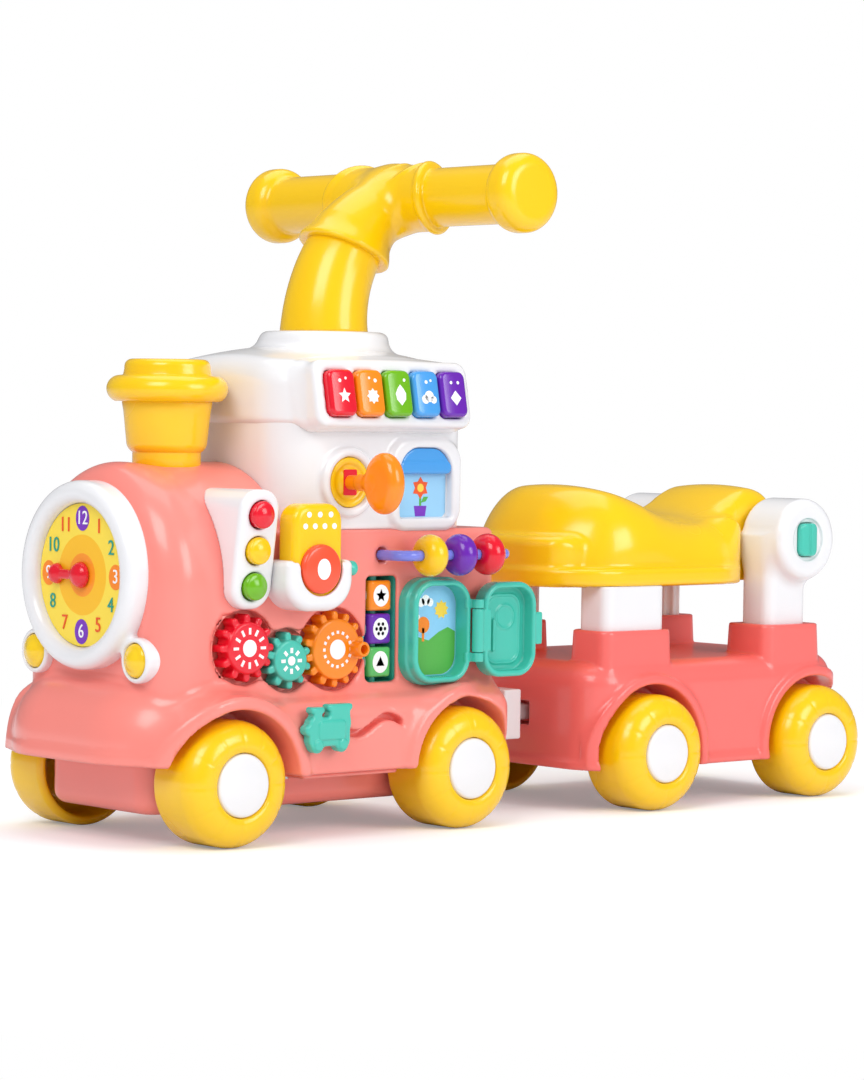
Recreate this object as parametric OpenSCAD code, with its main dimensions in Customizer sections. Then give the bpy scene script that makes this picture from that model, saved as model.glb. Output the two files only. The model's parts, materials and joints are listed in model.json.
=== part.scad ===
// Ride-on toy train: a locomotive with activity gadgets, coupled to a trailer with a saddle seat.
// The train faces -X, its left side is -Y, the floor is Z = 0. Millimetres.

/* [Running gear] */
// Outer diameter of every wheel
wheel_d = 82; // [70:1:96]
// Width of a tyre
tyre_w = 44; // [36:1:46]
// Rounding of the tyre's shoulders
tyre_round = 15; // [8:1:18]
// Diameter of the hub caps
hub_d = 41; // [30:1:46]
// Distance between the outer faces of the hub caps
track_w = 214; // [208:1:226]
// Diameter of the steel axles
axle_d = 8; // [5:0.5:10]
// Gap between tyre and wheel arch
arch_gap = 7; // [5:0.5:10]

/* [Train layout] */
// Front axle to rear axle of the locomotive
loco_wheelbase = 195; // [190:1:210]
// Rear axle of the locomotive to front axle of the trailer
coupling_span = 184; // [180:1:200]
// Front axle to rear axle of the trailer
trailer_wheelbase = 166; // [160:1:180]
// Nose tip ahead of the front axle
front_overhang = 72; // [68:1:80]
// Trailer tail behind the last axle
tail_l = 34; // [30:1:48]

/* [Locomotive body] */
// Width of boiler and cab base
body_w = 158; // [152:1:164]
// Height of the boiler's arch centre over the axles
boiler_z = 124; // [120:1:130]
// Boiler front face ahead of the front axle
boiler_front = 45; // [43:1:46]
// Rounding of the boiler's front edge
boiler_round = 22; // [10:1:26]
// Rear end of the boiler behind the front axle
boiler_back = 58; // [54:1:60]
// Rear wall of the body behind the front axle
body_back = 240; // [236:1:246]
// Top of the body under the cab, over the axles
base_top = 160; // [158:1:166]
// Width of the lower skirt
skirt_w = 200; // [194:1:204]
// Top of the skirt's shoulder over the axles
skirt_top = 51; // [48:1:52]
// Lower edge of the skirt over the axles
skirt_bottom = 3; // [1:0.5:4]
// Radius of the nose
nose_r = 50; // [46:1:52]
// Wall thickness of the moulded shells
wall = 3; // [2.5:0.1:3.5]
// Width of the chassis tray
chassis_w = 112; // [104:1:114]

/* [Cab and handle] */
// Length of the cab
cab_l = 152; // [146:1:156]
// Width of the cab
cab_w = 152; // [146:1:154]
// Height of the cab wall
cab_h = 68; // [66:1:74]
// Width of the roof block
roof_w = 164; // [158:1:168]
// Height of the roof block's side
roof_h = 40; // [38:1:44]
// Rise of the vaulted roof top
roof_rise = 14; // [8:1:18]
// Inward lean of the piano panel in degrees
panel_tilt = 11; // [6:1:14]
// Distance from key to key
key_pitch = 24.1; // [23.6:0.1:25]
// Width of a piano key
key_w = 22.2; // [20:0.1:22.6]
// Height of a piano key
key_h = 30.6; // [26:0.1:33]
// Travel of a piano key
key_travel = 3; // [2:0.5:4]
// Diameter of the handle neck
neck_d = 52; // [46:1:56]
// Bend radius of the handle neck
neck_bend = 99.4; // [90:0.2:110]
// Angle that the neck and tee sweep, in degrees
neck_sweep = 68.5; // [60:0.5:72]
// Diameter of the handlebar
bar_d = 37; // [32:0.5:40]
// Overall length of the handlebar
bar_l = 280; // [272:2:300]
// Diameter of the handlebar's end knobs
knob_d = 50; // [44:1:56]
// Height of the chimney over the axles
chimney_top = 270; // [262:1:276]
// Diameter of the chimney's rim
rim_d = 79; // [70:1:84]

/* [Clock and lights] */
// Diameter of the clock dial
dial_d = 93; // [84:1:98]
// Width of the rounded ring around the dial
ring_w = 14.5; // [11:0.5:16]
// Centre of the clock over the axles
clock_z = 130; // [128:1:134]
// Diameter of the headlight lenses
lens_d = 22; // [18:1:24]
// Diameter of the signal buttons
light_d = 17.6; // [14:0.2:19]
// Distance from signal button to signal button
light_pitch = 23; // [21:0.2:24]
// Travel of a signal button
light_travel = 2.5; // [1.5:0.5:3]

/* [Side gadgets] */
// Tooth size of the three gears (pitch diameter over tooth count)
gear_module = 3.25; // [3:0.05:3.3]
// Thickness of the gears
gear_t = 14; // [10:0.5:15]
// Edge length of a picture cube
cube_a = 20; // [18:0.2:20.4]
// Rounding of a cube's upright edges
cube_round = 3.5; // [3:0.1:5]
// Width of the phone
phone_w = 41; // [36:0.5:42]
// Height of the phone
phone_h = 66; // [60:1:70]
// Thickness of the phone
phone_t = 19; // [15:0.5:20]
// Height of the hatch door
door_h = 64; // [56:1:64]
// Width of the hatch door
door_w = 48; // [44:1:49]
// Thickness of the hatch door
door_t = 12; // [8:0.5:12]
// Outer diameter of a bead
bead_d = 28; // [22:0.5:28]
// Length of a bead
bead_l = 17; // [12:0.5:18]
// Diameter of the bead rod
rod_d = 7; // [5:0.5:8]
// Width of the wavy slot
slot_w = 5.2; // [4.4:0.1:6]
// Diameter of the ignition knob
knob_key_d = 40; // [34:1:42]
// Thickness of the ignition knob
knob_key_t = 14; // [10:0.5:16]

/* [Trailer] */
// Width of the trailer body
trailer_w = 176; // [168:1:180]
// Deck height over the axles
deck_z = 64; // [60:1:66]
// Height of the sockets around the pillars
socket_h = 22; // [18:1:26]
// Seat underside over the axles
seat_z = 117; // [114:1:124]
// Seat width
seat_w = 160; // [150:1:164]
// Length of the front pillars
pillar_l = 60; // [54:1:62]
// Width of the front pillars
pillar_w = 30; // [26:1:32]
// Diameter of the round rear caps
cap_d = 60; // [54:1:62]
// Diameter of the seat's hinge pins
pin_d = 12; // [9:0.5:14]
// Travel of a release button
release_travel = 4; // [3:0.5:5]

/* [Fits] */
// Radial running clearance of pins and shafts
fit = 0.06; // [0.03:0.01:0.1]
// Clearance around sliding and facing pieces
gap = 0.4; // [0.3:0.05:0.6]

/* [Hidden] */
$fn = 48;

salmon = "#FF8A80";
yellow = "#FFD200";
white = "#F4F2F2";
teal = "#45C3AF";
orange = "#FF8C0A";
red = "#E8102A";
purple = "#6A1FB0";
green = "#6FB711";
blue = "#4AA0E8";
lavender = "#7C86E8";
steel = "#B8BCC0";

train_l = front_overhang + loco_wheelbase + coupling_span + trailer_wheelbase
    + max(tail_l, wheel_d / 2);
axle_z = wheel_d / 2;
loco_x = -train_l / 2 + front_overhang;
trailer_x = loco_x + loco_wheelbase + coupling_span;

// Running gear
wheel_r = wheel_d / 2;
axle_r = axle_d / 2;
hub_face = track_w / 2;
tyre_face = hub_face - 2;
tyre_in = tyre_face - tyre_w;
hub_seat = hub_face - 6;
well_r = wheel_r + arch_gap;
fender_r = well_r + 9;
well_in = tyre_in - 1.5;
tray_in = chassis_w / 2 + gap;

// Locomotive
side_y = body_w / 2;
boiler_r = body_w / 2;
skirt_y = skirt_w / 2;
skirt_round = 12;
skirt_back = body_back + 6;
nose_x = -front_overhang + nose_r;
nose_z = 16;
chassis_front = -40;
chassis_back = body_back - 8;
chassis_bottom = -22;
chassis_top = 18;
rib_y = tray_in + 14;
pocket_x0 = well_r + 9;
pocket_x1 = loco_wheelbase - well_r - 9;
cavity_z = skirt_top - wall;
battery_l = 64;
battery_w = 72;
battery_h = 24;
battery_x = loco_wheelbase - axle_r - 23 - battery_l;
board_a = 60;
board_t = 4;
board_x = battery_x - 10 - board_a;
speaker_r = 24;
speaker_h = 14;

// Cab
cab_x0 = boiler_back;
cab_x1 = cab_x0 + cab_l;
cab_y = cab_w / 2;
cab_top = base_top + cab_h;
roof_x0 = cab_x0 - 3;
roof_x1 = cab_x1 + 4;
roof_y = roof_w / 2;
roof_top = cab_top + roof_h;
collar_r = 44;
chimney_foot = boiler_z + boiler_r - 12;
chimney_x = roof_x0 - rim_d / 2 - 0.6;
neck_x = 147;
neck_z = roof_top + roof_rise + 9;
neck_r = neck_d / 2;
tee_start = 33;
bar_x = neck_x + neck_bend * (1 - cos(neck_sweep));
bar_z = neck_z + neck_bend * sin(neck_sweep);
bar_r = bar_d / 2;
sleeve_r = bar_r + 3;
panel_x = cab_x0 + 78;
panel_h = roof_h + 5;
panel_l = 5 * key_pitch + 13;
panel_y = -roof_y - 5.5;
panel_z = cab_top + roof_h / 2 + 1.5;
panel_t = 14;
key_out = 6;
key_in = 6;
lock_x = 106;
lock_z = base_top + 31;
lock_r = 16.6;
shaft_r = 5;
knob_y = cab_y + 33;
window_x = 172;
window_z = base_top + 29;
window_l = 46;
window_h = 44;

// Clock
dial_r = dial_d / 2;
bezel_r = dial_r + ring_w;
bezel_t = 15;
dial_x = -boiler_front - 7;
ear_y = 55;
ear_z = 78;
ear_r = lens_d / 2 + 4.5;
ear_h = 6;

// Signal panel
light_x = 18;
light_z = 148;
panel_w = light_d + 14.4;
light_slope = 3.4 / 23;

// Phone
phone_x = 62;
phone_z = 112;
phone_y = side_y + wall + gap;
holder_w = phone_w + 14;
holder_t = phone_t + 2 * wall + 2 * gap;
holder_z = phone_z - wall - gap;
holder_h = 33;
ring_r = 16;
ring_z = phone_z + 24;

// Gears
teeth_red = 12;
teeth_teal = 10;
teeth_orange = 14;
gear_red_r = gear_module * teeth_red / 2;
gear_teal_r = gear_module * teeth_teal / 2;
gear_orange_r = gear_module * teeth_orange / 2;
gear_add = 0.72 * gear_module;
gear_ded = 1.05 * gear_module;
teal_x = 54;
teal_z = 76;
red_dir = 165;
orange_dir = 9;
red_x = teal_x + (gear_red_r + gear_teal_r) * cos(red_dir);
red_z = teal_z + (gear_red_r + gear_teal_r) * sin(red_dir);
orange_x = teal_x + (gear_orange_r + gear_teal_r) * cos(orange_dir);
orange_z = teal_z + (gear_orange_r + gear_teal_r) * sin(orange_dir);
gear_y = side_y + 5;
tray_floor = gear_y - gear_t - 1;
lobe = gear_add + 2.4;
post_r = 4;
// Phases that set every tooth opposite a gap
teal_phase = red_dir;
red_phase = red_dir + 180 + 180 / teeth_red;
teal_step = 360 / teeth_teal;
teal_lag = orange_dir - teal_phase - teal_step * floor((orange_dir - teal_phase) / teal_step);
orange_phase = orange_dir + 180 + 180 / teeth_orange + teal_lag * teeth_teal / teeth_orange;

// Cubes
cube_mid = 94;
cube_wall = 2;
cube_pitch = cube_a + 2;
cube_reach = (cube_a / 2 - cube_round) * sqrt(2) + cube_round;
cube_slot = 2 * (cube_reach + gap);
cube_x = orange_x + gear_orange_r + gear_add + 1.8 + cube_wall + cube_slot / 2;
cube_y = side_y - cube_a / 2 - 1;
cube_rod_r = 3;
cube_tray_h = 3 * cube_pitch + 4;

// Hatch
hatch_x = 176;
frame_w = door_w + 3;
frame_h = door_h + 5;
hatch_z = fender_r + frame_h / 2 + 0.3;
frame_y = side_y + 15;
hinge_x = hatch_x + frame_w / 2 + 3;
hinge_y = frame_y + 2.5;
hinge_r = 4;
hinge_pin = 2;

// Beads
rod_r = rod_d / 2;
rod_y = side_y + 21;
rod_z = 143;
rod_x0 = 134;
rod_x1 = 230;
rod_bend = 10;
bead_at = [158, 184, 209];

// Slot and slider
slider_x = 66;
slot_z = 33;
slot_x0 = slider_x - slot_w / 2 - 0.8;
slot_x1 = 137;
slot_turn = 84;

// Trailer
trailer_y = trailer_w / 2;
trailer_front = -57;
trailer_back = trailer_wheelbase + tail_l;
trailer_bottom = -11;
trailer_round = 12;
hitch_x = 8;
hitch_z = 25.5;
hitch_h = 11;
hitch_pin_r = 5;
eye_r = 11;
pillar_x = -8;
socket_y = 64;
post_x = trailer_wheelbase - 18;
post_l = 42;
post_w = 30;
cap_r = cap_d / 2;
cap_x = trailer_wheelbase - 10;
cap_z = seat_z + 31;
back_w = 2 * (socket_y - post_w / 2 - 2);
cap_in = back_w / 2 + 1.5;
cap_out = trailer_y + 3;
pin_r = pin_d / 2;
seat_front = -72;
seat_back = post_x - post_l / 2 - 1.5;
back_end = cap_x + 17;

module at_loco() translate([loco_x, 0, axle_z]) children();
module at_trailer() translate([trailer_x, 0, axle_z]) children();
module both_sides() {
    children();
    mirror([0, 1, 0]) children();
}
// Outline in X and Z, drawn out along Y
module along_y(y0, y1) translate([0, y1, 0]) rotate([90, 0, 0]) linear_extrude(y1 - y0) children();
// Outline in Y and Z, drawn out along X
module along_x(x0, x1) translate([x0, 0, 0]) rotate([90, 0, 90]) linear_extrude(x1 - x0) children();
// Profile turned about Y; its height points to the train's left side
module turned_y(x, z) translate([x, 0, z]) rotate([90, 0, 0]) rotate_extrude() children();
// Profile turned about X; its height points to the train's front
module turned_x(y, z) translate([0, y, z]) rotate([0, -90, 0]) rotate_extrude() children();
module round_rect(l, w, r) {
    square([l - 2 * r, w], center = true);
    square([l, w - 2 * r], center = true);
    for (sx = [-1, 1], sy = [-1, 1]) translate([sx * (l / 2 - r), sy * (w / 2 - r)]) circle(r);
}
module rod_y(x, z, r, y0, y1) translate([x, y1, z]) rotate([90, 0, 0]) cylinder(h = y1 - y0, r = r);

// Running gear
module tyre() {
    turned_y(0, 0) difference() {
        union() {
            translate([0, tyre_in]) square([wheel_r - tyre_round, tyre_w]);
            translate([0, tyre_in + tyre_round]) square([wheel_r, tyre_w - 2 * tyre_round]);
            for (h = [tyre_in + tyre_round, tyre_face - tyre_round])
                translate([wheel_r - tyre_round, h]) circle(tyre_round);
        }
        translate([-1, tyre_in - 1]) square([axle_r + 1, tyre_w + 2]);
        translate([axle_r + 7, tyre_in - 1]) square([wheel_r - axle_r - 17, tyre_w / 2]);
        translate([-1, hub_seat]) square([hub_d / 2 + 1 + fit, 20]);
    }
}
module hub_cap() turned_y(0, 0) translate([0, hub_seat]) {
    edge = 3;
    square([hub_d / 2 - edge, hub_face - hub_seat]);
    square([hub_d / 2, hub_face - hub_seat - edge]);
    translate([hub_d / 2 - edge, hub_face - hub_seat - edge]) circle(edge);
}
module wheel_pair() both_sides() tyre();
module axle_set() {
    rod_y(0, 0, axle_r, -hub_seat + gap, hub_seat - gap);
    both_sides() hub_cap();
}
module loco_front_wheels() color(yellow) at_loco() wheel_pair();
module loco_front_axle() color(steel) at_loco() axle_set();
module loco_rear_wheels() color(yellow) at_loco() translate([loco_wheelbase, 0, 0]) wheel_pair();
module loco_rear_axle() color(steel) at_loco() translate([loco_wheelbase, 0, 0]) axle_set();
module trailer_front_wheels() color(yellow) at_trailer() wheel_pair();
module trailer_front_axle() color(steel) at_trailer() axle_set();
module trailer_rear_wheels() color(yellow) at_trailer() translate([trailer_wheelbase, 0, 0]) wheel_pair();
module trailer_rear_axle() color(steel) at_trailer() translate([trailer_wheelbase, 0, 0]) axle_set();

// Locomotive body
module boiler_solid(inset) {
    x0 = -boiler_front + inset;
    x1 = boiler_back - inset;
    r = boiler_r - inset;
    round = boiler_round - inset;
    // Arched top
    translate([0, 0, boiler_z]) rotate([0, -90, 0]) rotate([0, 0, -90]) rotate_extrude(angle = 180) {
        translate([0, -x1]) square([r, x1 - x0 - round]);
        translate([0, -x1]) square([r - round, x1 - x0]);
        translate([r - round, -x0 - round]) circle(round);
    }
    // Straight sides below
    translate([0, 0, cavity_z - wall + inset]) linear_extrude(boiler_z - cavity_z + wall - inset) {
        translate([x0 + round, -r]) square([x1 - x0 - round, 2 * r]);
        translate([x0, -r + round]) square([x1 - x0, 2 * r - 2 * round]);
        for (s = [-1, 1]) translate([x0 + round, s * (r - round)]) circle(round);
    }
}
module base_solid(inset) {
    z0 = cavity_z - wall + inset;
    translate([0, 0, z0]) linear_extrude(base_top - inset - z0) {
        translate([boiler_back - inset, -side_y + inset])
            square([body_back - boiler_back - 14 + inset, body_w - 2 * inset]);
        translate([boiler_back - inset, -side_y + 14])
            square([body_back - boiler_back, body_w - 28]);
        for (s = [-1, 1]) translate([body_back - 14, s * (side_y - 14)]) circle(14 - inset);
    }
}
module skirt_profile() {
    translate([-skirt_y, skirt_bottom]) square([skirt_w, skirt_top - skirt_bottom - skirt_round]);
    translate([-skirt_y + skirt_round, skirt_bottom])
        square([skirt_w - 2 * skirt_round, skirt_top - skirt_bottom]);
    for (s = [-1, 1]) translate([s * (skirt_y - skirt_round), skirt_top - skirt_round]) circle(skirt_round);
}
module skirt_solid() {
    x0 = nose_x;
    intersection() {
        along_x(x0, skirt_back) skirt_profile();
        translate([0, 0, -10]) linear_extrude(100) union() {
            translate([x0 - 1, -skirt_y]) square([skirt_back - x0 - 23, skirt_w]);
            translate([x0 - 1, -skirt_y + 24]) square([skirt_back - x0 + 1, skirt_w - 48]);
            for (s = [-1, 1]) translate([skirt_back - 24, s * (skirt_y - 24)]) circle(24);
        }
    }
}
module nose_solid(inset) {
    half = skirt_y - 2 - inset;
    round = 24 - inset;
    translate([nose_x, 0, nose_z]) rotate([90, 0, 0]) rotate([0, 0, 90]) rotate_extrude(angle = 90) {
        translate([0, -half]) square([nose_r - inset - round, 2 * half]);
        translate([0, -half + round]) square([nose_r - inset, 2 * half - 2 * round]);
        for (s = [-1, 1]) translate([nose_r - inset - round, s * (half - round)]) circle(round);
    }
}
module upper_solid(inset) {
    boiler_solid(inset);
    base_solid(inset);
}
module gear_window(grow, y0, y1) {
    rod_y(red_x, red_z, gear_red_r + lobe + grow, y0, y1);
    rod_y(teal_x, teal_z, gear_teal_r + lobe + grow, y0, y1);
    rod_y(orange_x, orange_z, gear_orange_r + lobe + grow, y0, y1);
}
function slot_line(x) = x < slot_turn ? slot_z
    : slot_z - 5 * sin((x - slot_turn) * 360 / (slot_x1 - slot_turn));
module slot_outline(w) {
    steps = [for (x = [slot_turn : 4 : slot_x1]) x];
    polygon(concat([[slot_x0, slot_z + w / 2]], [for (x = steps) [x, slot_line(x) + w / 2]],
        [[slot_x1, slot_line(slot_x1) + w / 2], [slot_x1, slot_line(slot_x1) - w / 2]],
        [for (i = [len(steps) - 1 : -1 : 0]) [steps[i], slot_line(steps[i]) - w / 2]],
        [[slot_x0, slot_z - w / 2]]));
}
module loco_body() color(salmon) at_loco() difference() {
    union() {
        upper_solid(0);
        skirt_solid();
        nose_solid(0);
        intersection() {
            for (x = [0, loco_wheelbase]) rod_y(x, 0, fender_r, -skirt_y - 2, skirt_y + 2);
            translate([-fender_r, -skirt_w, -wheel_d])
                cube([skirt_back + fender_r, 2 * skirt_w, 2 * wheel_d]);
        }
    }
    // Hollow upper part, and the well that takes the chassis tray
    boiler_solid(wall);
    base_solid(wall);
    nose_solid(wall + 1);
    translate([boiler_back - 8, -side_y + wall, cavity_z])
        cube([20, body_w - 2 * wall, boiler_z - cavity_z - 4]);
    translate([chassis_front - gap, -tray_in, -60])
        cube([chassis_back - chassis_front + 2 * gap, 2 * tray_in, 60 + cavity_z + 2]);
    // Hollow sills between the wheels
    for (s = [-1, 1]) translate([pocket_x0, s > 0 ? rib_y : -skirt_y + wall, -10])
        cube([pocket_x1 - pocket_x0, skirt_y - wall - rib_y, 10 + skirt_top - 11]);
    // Below the sills nothing is left but open floor
    translate([-200, -200, -100]) cube([600, 400, 100 + skirt_bottom]);
    for (x = [0, loco_wheelbase]) {
        rod_y(x, 0, axle_r + 4, -skirt_y, skirt_y);
        for (s = [-1, 1]) translate([0, s > 0 ? well_in + 60 : -well_in, 0]) rod_y(x, 0, well_r, -60, 0);
    }
    // Openings for the gadgets of the left side
    gear_window(0, -side_y - 10, -side_y + wall + 1);
    translate([0, 0, cube_mid]) along_y(-side_y - 10, -side_y + wall + 1)
        translate([cube_x, 0]) square([cube_slot, cube_tray_h], center = true);
    along_y(-skirt_y - 5, -skirt_y + wall + 2) slot_outline(slot_w);
    // Screw holes in the ribs
    for (x = [pocket_x0 + 8, pocket_x1 - 8], s = [-1, 1])
        translate([x, s * (tray_in + 7), -1]) cylinder(h = 22, r = 1.5 + fit);
}
module loco_chassis() color(salmon) at_loco() difference() {
    union() {
        difference() {
            translate([chassis_front, -chassis_w / 2, chassis_bottom])
                cube([chassis_back - chassis_front, chassis_w, chassis_top - chassis_bottom]);
            translate([chassis_front + wall, -chassis_w / 2 + wall, chassis_bottom + wall])
                cube([chassis_back - chassis_front - 2 * wall, chassis_w - 2 * wall, 100]);
        }
        // Flange that carries the body
        for (s = [-1, 1])
            translate([pocket_x0, s > 0 ? chassis_w / 2 - wall : -skirt_y + 6, skirt_bottom - wall])
            cube([pocket_x1 - pocket_x0, skirt_y - 6 - chassis_w / 2 + wall, wall]);
        // Axle bearings
        for (x = [0, loco_wheelbase], s = [-1, 1])
            translate([0, s * (chassis_w / 2 - 6), 0]) rod_y(x, 0, axle_r + 5, -6, 6);
    }
    for (x = [0, loco_wheelbase]) rod_y(x, 0, axle_r + fit, -chassis_w, chassis_w);
    for (x = [pocket_x0 + 8, pocket_x1 - 8], s = [-1, 1])
        translate([x, s * (tray_in + 7), skirt_bottom - wall - 1]) cylinder(h = wall + 2, r = 1.5 + fit);
}
module screws() color(steel) at_loco() for (x = [pocket_x0 + 8, pocket_x1 - 8], s = [-1, 1])
    translate([x, s * (tray_in + 7), skirt_bottom - wall]) {
        translate([0, 0, -2.5]) cylinder(h = 2.5, r = 3.5);
        cylinder(h = 18, r = 1.5);
    }
module sound_module() color(green) at_loco() translate([board_x, 0, chassis_bottom + wall]) {
    translate([0, -board_a / 2, 0]) cube([board_a, board_a, board_t]);
    translate([board_a / 2, 0, board_t]) cylinder(h = speaker_h, r = speaker_r);
}
module battery_box() color("#303030") at_loco()
    translate([battery_x, -battery_w / 2, chassis_bottom + wall]) cube([battery_l, battery_w, battery_h]);

// Cab
// Plan of cab and roof: soft corners in front, tighter ones behind
module cab_outline(x0, x1, half, front_r, back_r) {
    translate([x0 + front_r, -half]) square([x1 - x0 - front_r - back_r, 2 * half]);
    translate([x0, -half + front_r]) square([front_r + 1, 2 * half - 2 * front_r]);
    translate([x1 - back_r - 1, -half + back_r]) square([back_r + 1, 2 * half - 2 * back_r]);
    for (s = [-1, 1]) {
        translate([x0 + front_r, s * (half - front_r)]) circle(front_r);
        translate([x1 - back_r, s * (half - back_r)]) circle(back_r);
    }
}
module cab_plan(inset) cab_outline(cab_x0 + inset, cab_x1 - inset, cab_y - inset, 30 - inset, 14 - inset);
module window_outline(grow) translate([window_x, window_z]) {
    round_rect(window_l + 2 * grow, window_h + 2 * grow, 9 + grow);
}
module cab_shell() color(white) at_loco() difference() {
    union() {
        translate([0, 0, base_top]) linear_extrude(cab_h) cab_plan(0);
        rod_y(lock_x, lock_z, lock_r + 6, -cab_y - 4, -cab_y + 1);
        along_y(-cab_y - 4, -cab_y + 1) window_outline(5);
    }
    translate([0, 0, base_top - 1]) linear_extrude(cab_h + 2) cab_plan(wall);
    rod_y(lock_x, lock_z, lock_r + fit, -cab_y - 10, -cab_y + 10);
    along_y(-cab_y - 10, -cab_y + 10) window_outline(0);
}
// Low arch over a base of the given half width
module vault(half, base, rise) {
    r = (half * half + rise * rise) / (2 * rise);
    span = asin(half / r);
    polygon([for (i = [-12 : 12]) [r * sin(span * i / 12), base + rise - r + r * cos(span * i / 12)]]);
}
module panel_at() translate([panel_x, panel_y, panel_z]) rotate([-panel_tilt, 0, 0]) children();
module cab_roof() color(white) at_loco() {
    mid = (roof_x0 + roof_x1) / 2;
    half = (roof_x1 - roof_x0) / 2;
    difference() {
        union() {
            translate([0, 0, cab_top]) linear_extrude(roof_h) cab_outline(roof_x0, roof_x1, roof_y, 38, 18);
            intersection() {
                along_x(roof_x0, roof_x1) vault(roof_y - 4, roof_top - 1, roof_rise + 1);
                along_y(-roof_y, roof_y) translate([mid, 0]) vault(half - 4, roof_top - 1, roof_rise + 1);
                translate([0, 0, roof_top - 1]) linear_extrude(roof_rise + 2)
                    cab_outline(roof_x0 + 3, roof_x1 - 3, roof_y - 3, 35, 15);
            }
            translate([neck_x, 0, roof_top]) cylinder(h = neck_z - roof_top, r = collar_r);
            panel_at() along_y(0, panel_t) round_rect(panel_l, panel_h, 8);
        }
        translate([0, 6, cab_top - 1]) linear_extrude(roof_h - 4)
            cab_outline(roof_x0 + 8, roof_x1 - 8, roof_y - 14, 24, 10);
        translate([neck_x, 0, cab_top]) cylinder(h = neck_z - cab_top - 5, r = collar_r - 10);
        // Pockets for the keys
        for (i = [-2 : 2]) panel_at() along_y(-1, key_in + key_travel + gap) translate([i * key_pitch, -0.5])
            round_rect(key_w + 2 * gap, key_h + 2 * gap, 5 + gap);
    }
}
module piano_key(i) at_loco() panel_at() along_y(-key_out, key_in) translate([i * key_pitch, -0.5])
    round_rect(key_w, key_h, 5);
module key_red() color(red) piano_key(-2);
module key_orange() color(orange) piano_key(-1);
module key_green() color(green) piano_key(0);
module key_blue() color(blue) piano_key(1);
module key_purple() color(purple) piano_key(2);
module lock_disc() color(yellow) at_loco() difference() {
    rod_y(lock_x, lock_z, lock_r, -cab_y - 3, -cab_y + wall);
    rod_y(lock_x, lock_z, shaft_r + fit, -cab_y - 10, -cab_y + 10);
}
module key_knob() color(orange) at_loco() {
    rod_y(lock_x, lock_z, shaft_r, -knob_y, -cab_y + wall + 3);
    translate([0, -knob_y, lock_z]) rotate([0, 90, 0]) translate([0, 0, lock_x - knob_key_t / 2])
        cylinder(h = knob_key_t, r = knob_key_d / 2);
}
module window_card() color(blue) at_loco()
    along_y(-cab_y + wall, -cab_y + wall + 2) window_outline(1);
module window_blind() color(blue) at_loco() along_y(-cab_y - 3, -cab_y + wall - gap)
    translate([window_x, window_z + window_h / 2 - gap - 9]) round_rect(window_l - 2 * gap, 18, 8.8);

// Chimney and handle
module chimney() color(yellow) at_loco() difference() {
    translate([chimney_x, 0, 0]) rotate_extrude() {
        translate([0, chimney_foot]) square([22.5, chimney_top - 57 - chimney_foot]);
        polygon([[0, chimney_top - 64], [24.5, chimney_top - 62], [30, chimney_top - 28],
            [0, chimney_top - 20]]);
        translate([rim_d / 2 - 10.5, chimney_top - 19.5]) circle(10.5);
        translate([0, chimney_top - 30]) square([rim_d / 2 - 10.5, 21]);
        translate([0, chimney_top - 20]) square([28.5, 15]);
        translate([0, chimney_top - 20]) square([23.5, 20]);
        translate([23.5, chimney_top - 5]) circle(5);
    }
    boiler_solid(0);
    translate([chimney_x, 0, boiler_z]) cylinder(h = chimney_top - 6 - boiler_z, r = 18);
}
module neck_arc(r, a0, a1) translate([neck_x + neck_bend, 0, neck_z]) rotate([90, 0, 0])
    rotate([0, 0, 180 - a1]) rotate_extrude(angle = a1 - a0) translate([neck_bend, 0]) circle(r);
module handle_neck() color(yellow) at_loco() difference() {
    union() {
        neck_arc(neck_r, 0, tee_start);
        translate([neck_x, 0, neck_z]) cylinder(h = 6, r1 = neck_r + 3.5, r2 = neck_r + 1);
    }
    neck_arc(neck_r - 5, -3, tee_start + 3);
}
module handle_bar() color(yellow) at_loco() difference() {
    union() {
        neck_arc(sleeve_r + 2, tee_start, neck_sweep);
        neck_arc(neck_r + 1.5, tee_start, tee_start + 6);
        translate([bar_x, 0, bar_z]) rotate([90, 0, 0]) {
            cylinder(h = 106, r = sleeve_r, center = true);
            cylinder(h = bar_l - 40, r = bar_r, center = true);
        }
        both_sides() turned_y(bar_x, bar_z) {
            translate([0, bar_l / 2 - 26]) square([knob_d / 2 - 10, 26]);
            translate([0, bar_l / 2 - 16]) square([knob_d / 2, 6]);
            for (h = [16, 10]) translate([knob_d / 2 - 10, bar_l / 2 - h]) circle(10);
        }
    }
    // Moulded hollow
    rod_y(bar_x, bar_z, bar_r - 4, -bar_l / 2 + 8, bar_l / 2 - 8);
    neck_arc(sleeve_r - 4, tee_start - 3, neck_sweep - 16);
}

// Clock
module clock_bezel() color(white) at_loco() difference() {
    union() {
        turned_x(0, clock_z) {
            translate([dial_r, boiler_front]) square([ring_w, bezel_t - ring_w / 2]);
            translate([dial_r + ring_w / 2, boiler_front + bezel_t - ring_w / 2]) circle(ring_w / 2);
        }
        for (s = [-1, 1]) turned_x(s * ear_y, ear_z) translate([0, boiler_front]) square([ear_r, ear_h]);
    }
    turned_x(0, clock_z) square([dial_r, 80]);
    for (s = [-1, 1]) turned_x(s * ear_y, ear_z) translate([0, boiler_front + 2])
        square([lens_d / 2 + fit, 30]);
    boiler_solid(0);
    nose_solid(0);
}
module headlights() color(yellow) at_loco() for (s = [-1, 1]) {
    lens_r = lens_d / 2;
    dome = 5;
    ball = (lens_r * lens_r + dome * dome) / (2 * dome);
    intersection() {
        turned_x(s * ear_y, ear_z) translate([0, boiler_front + 2]) square([lens_r, ear_h + 2]);
        translate([-boiler_front - ear_h - 4 + ball, s * ear_y, ear_z]) sphere(ball);
    }
}
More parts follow.
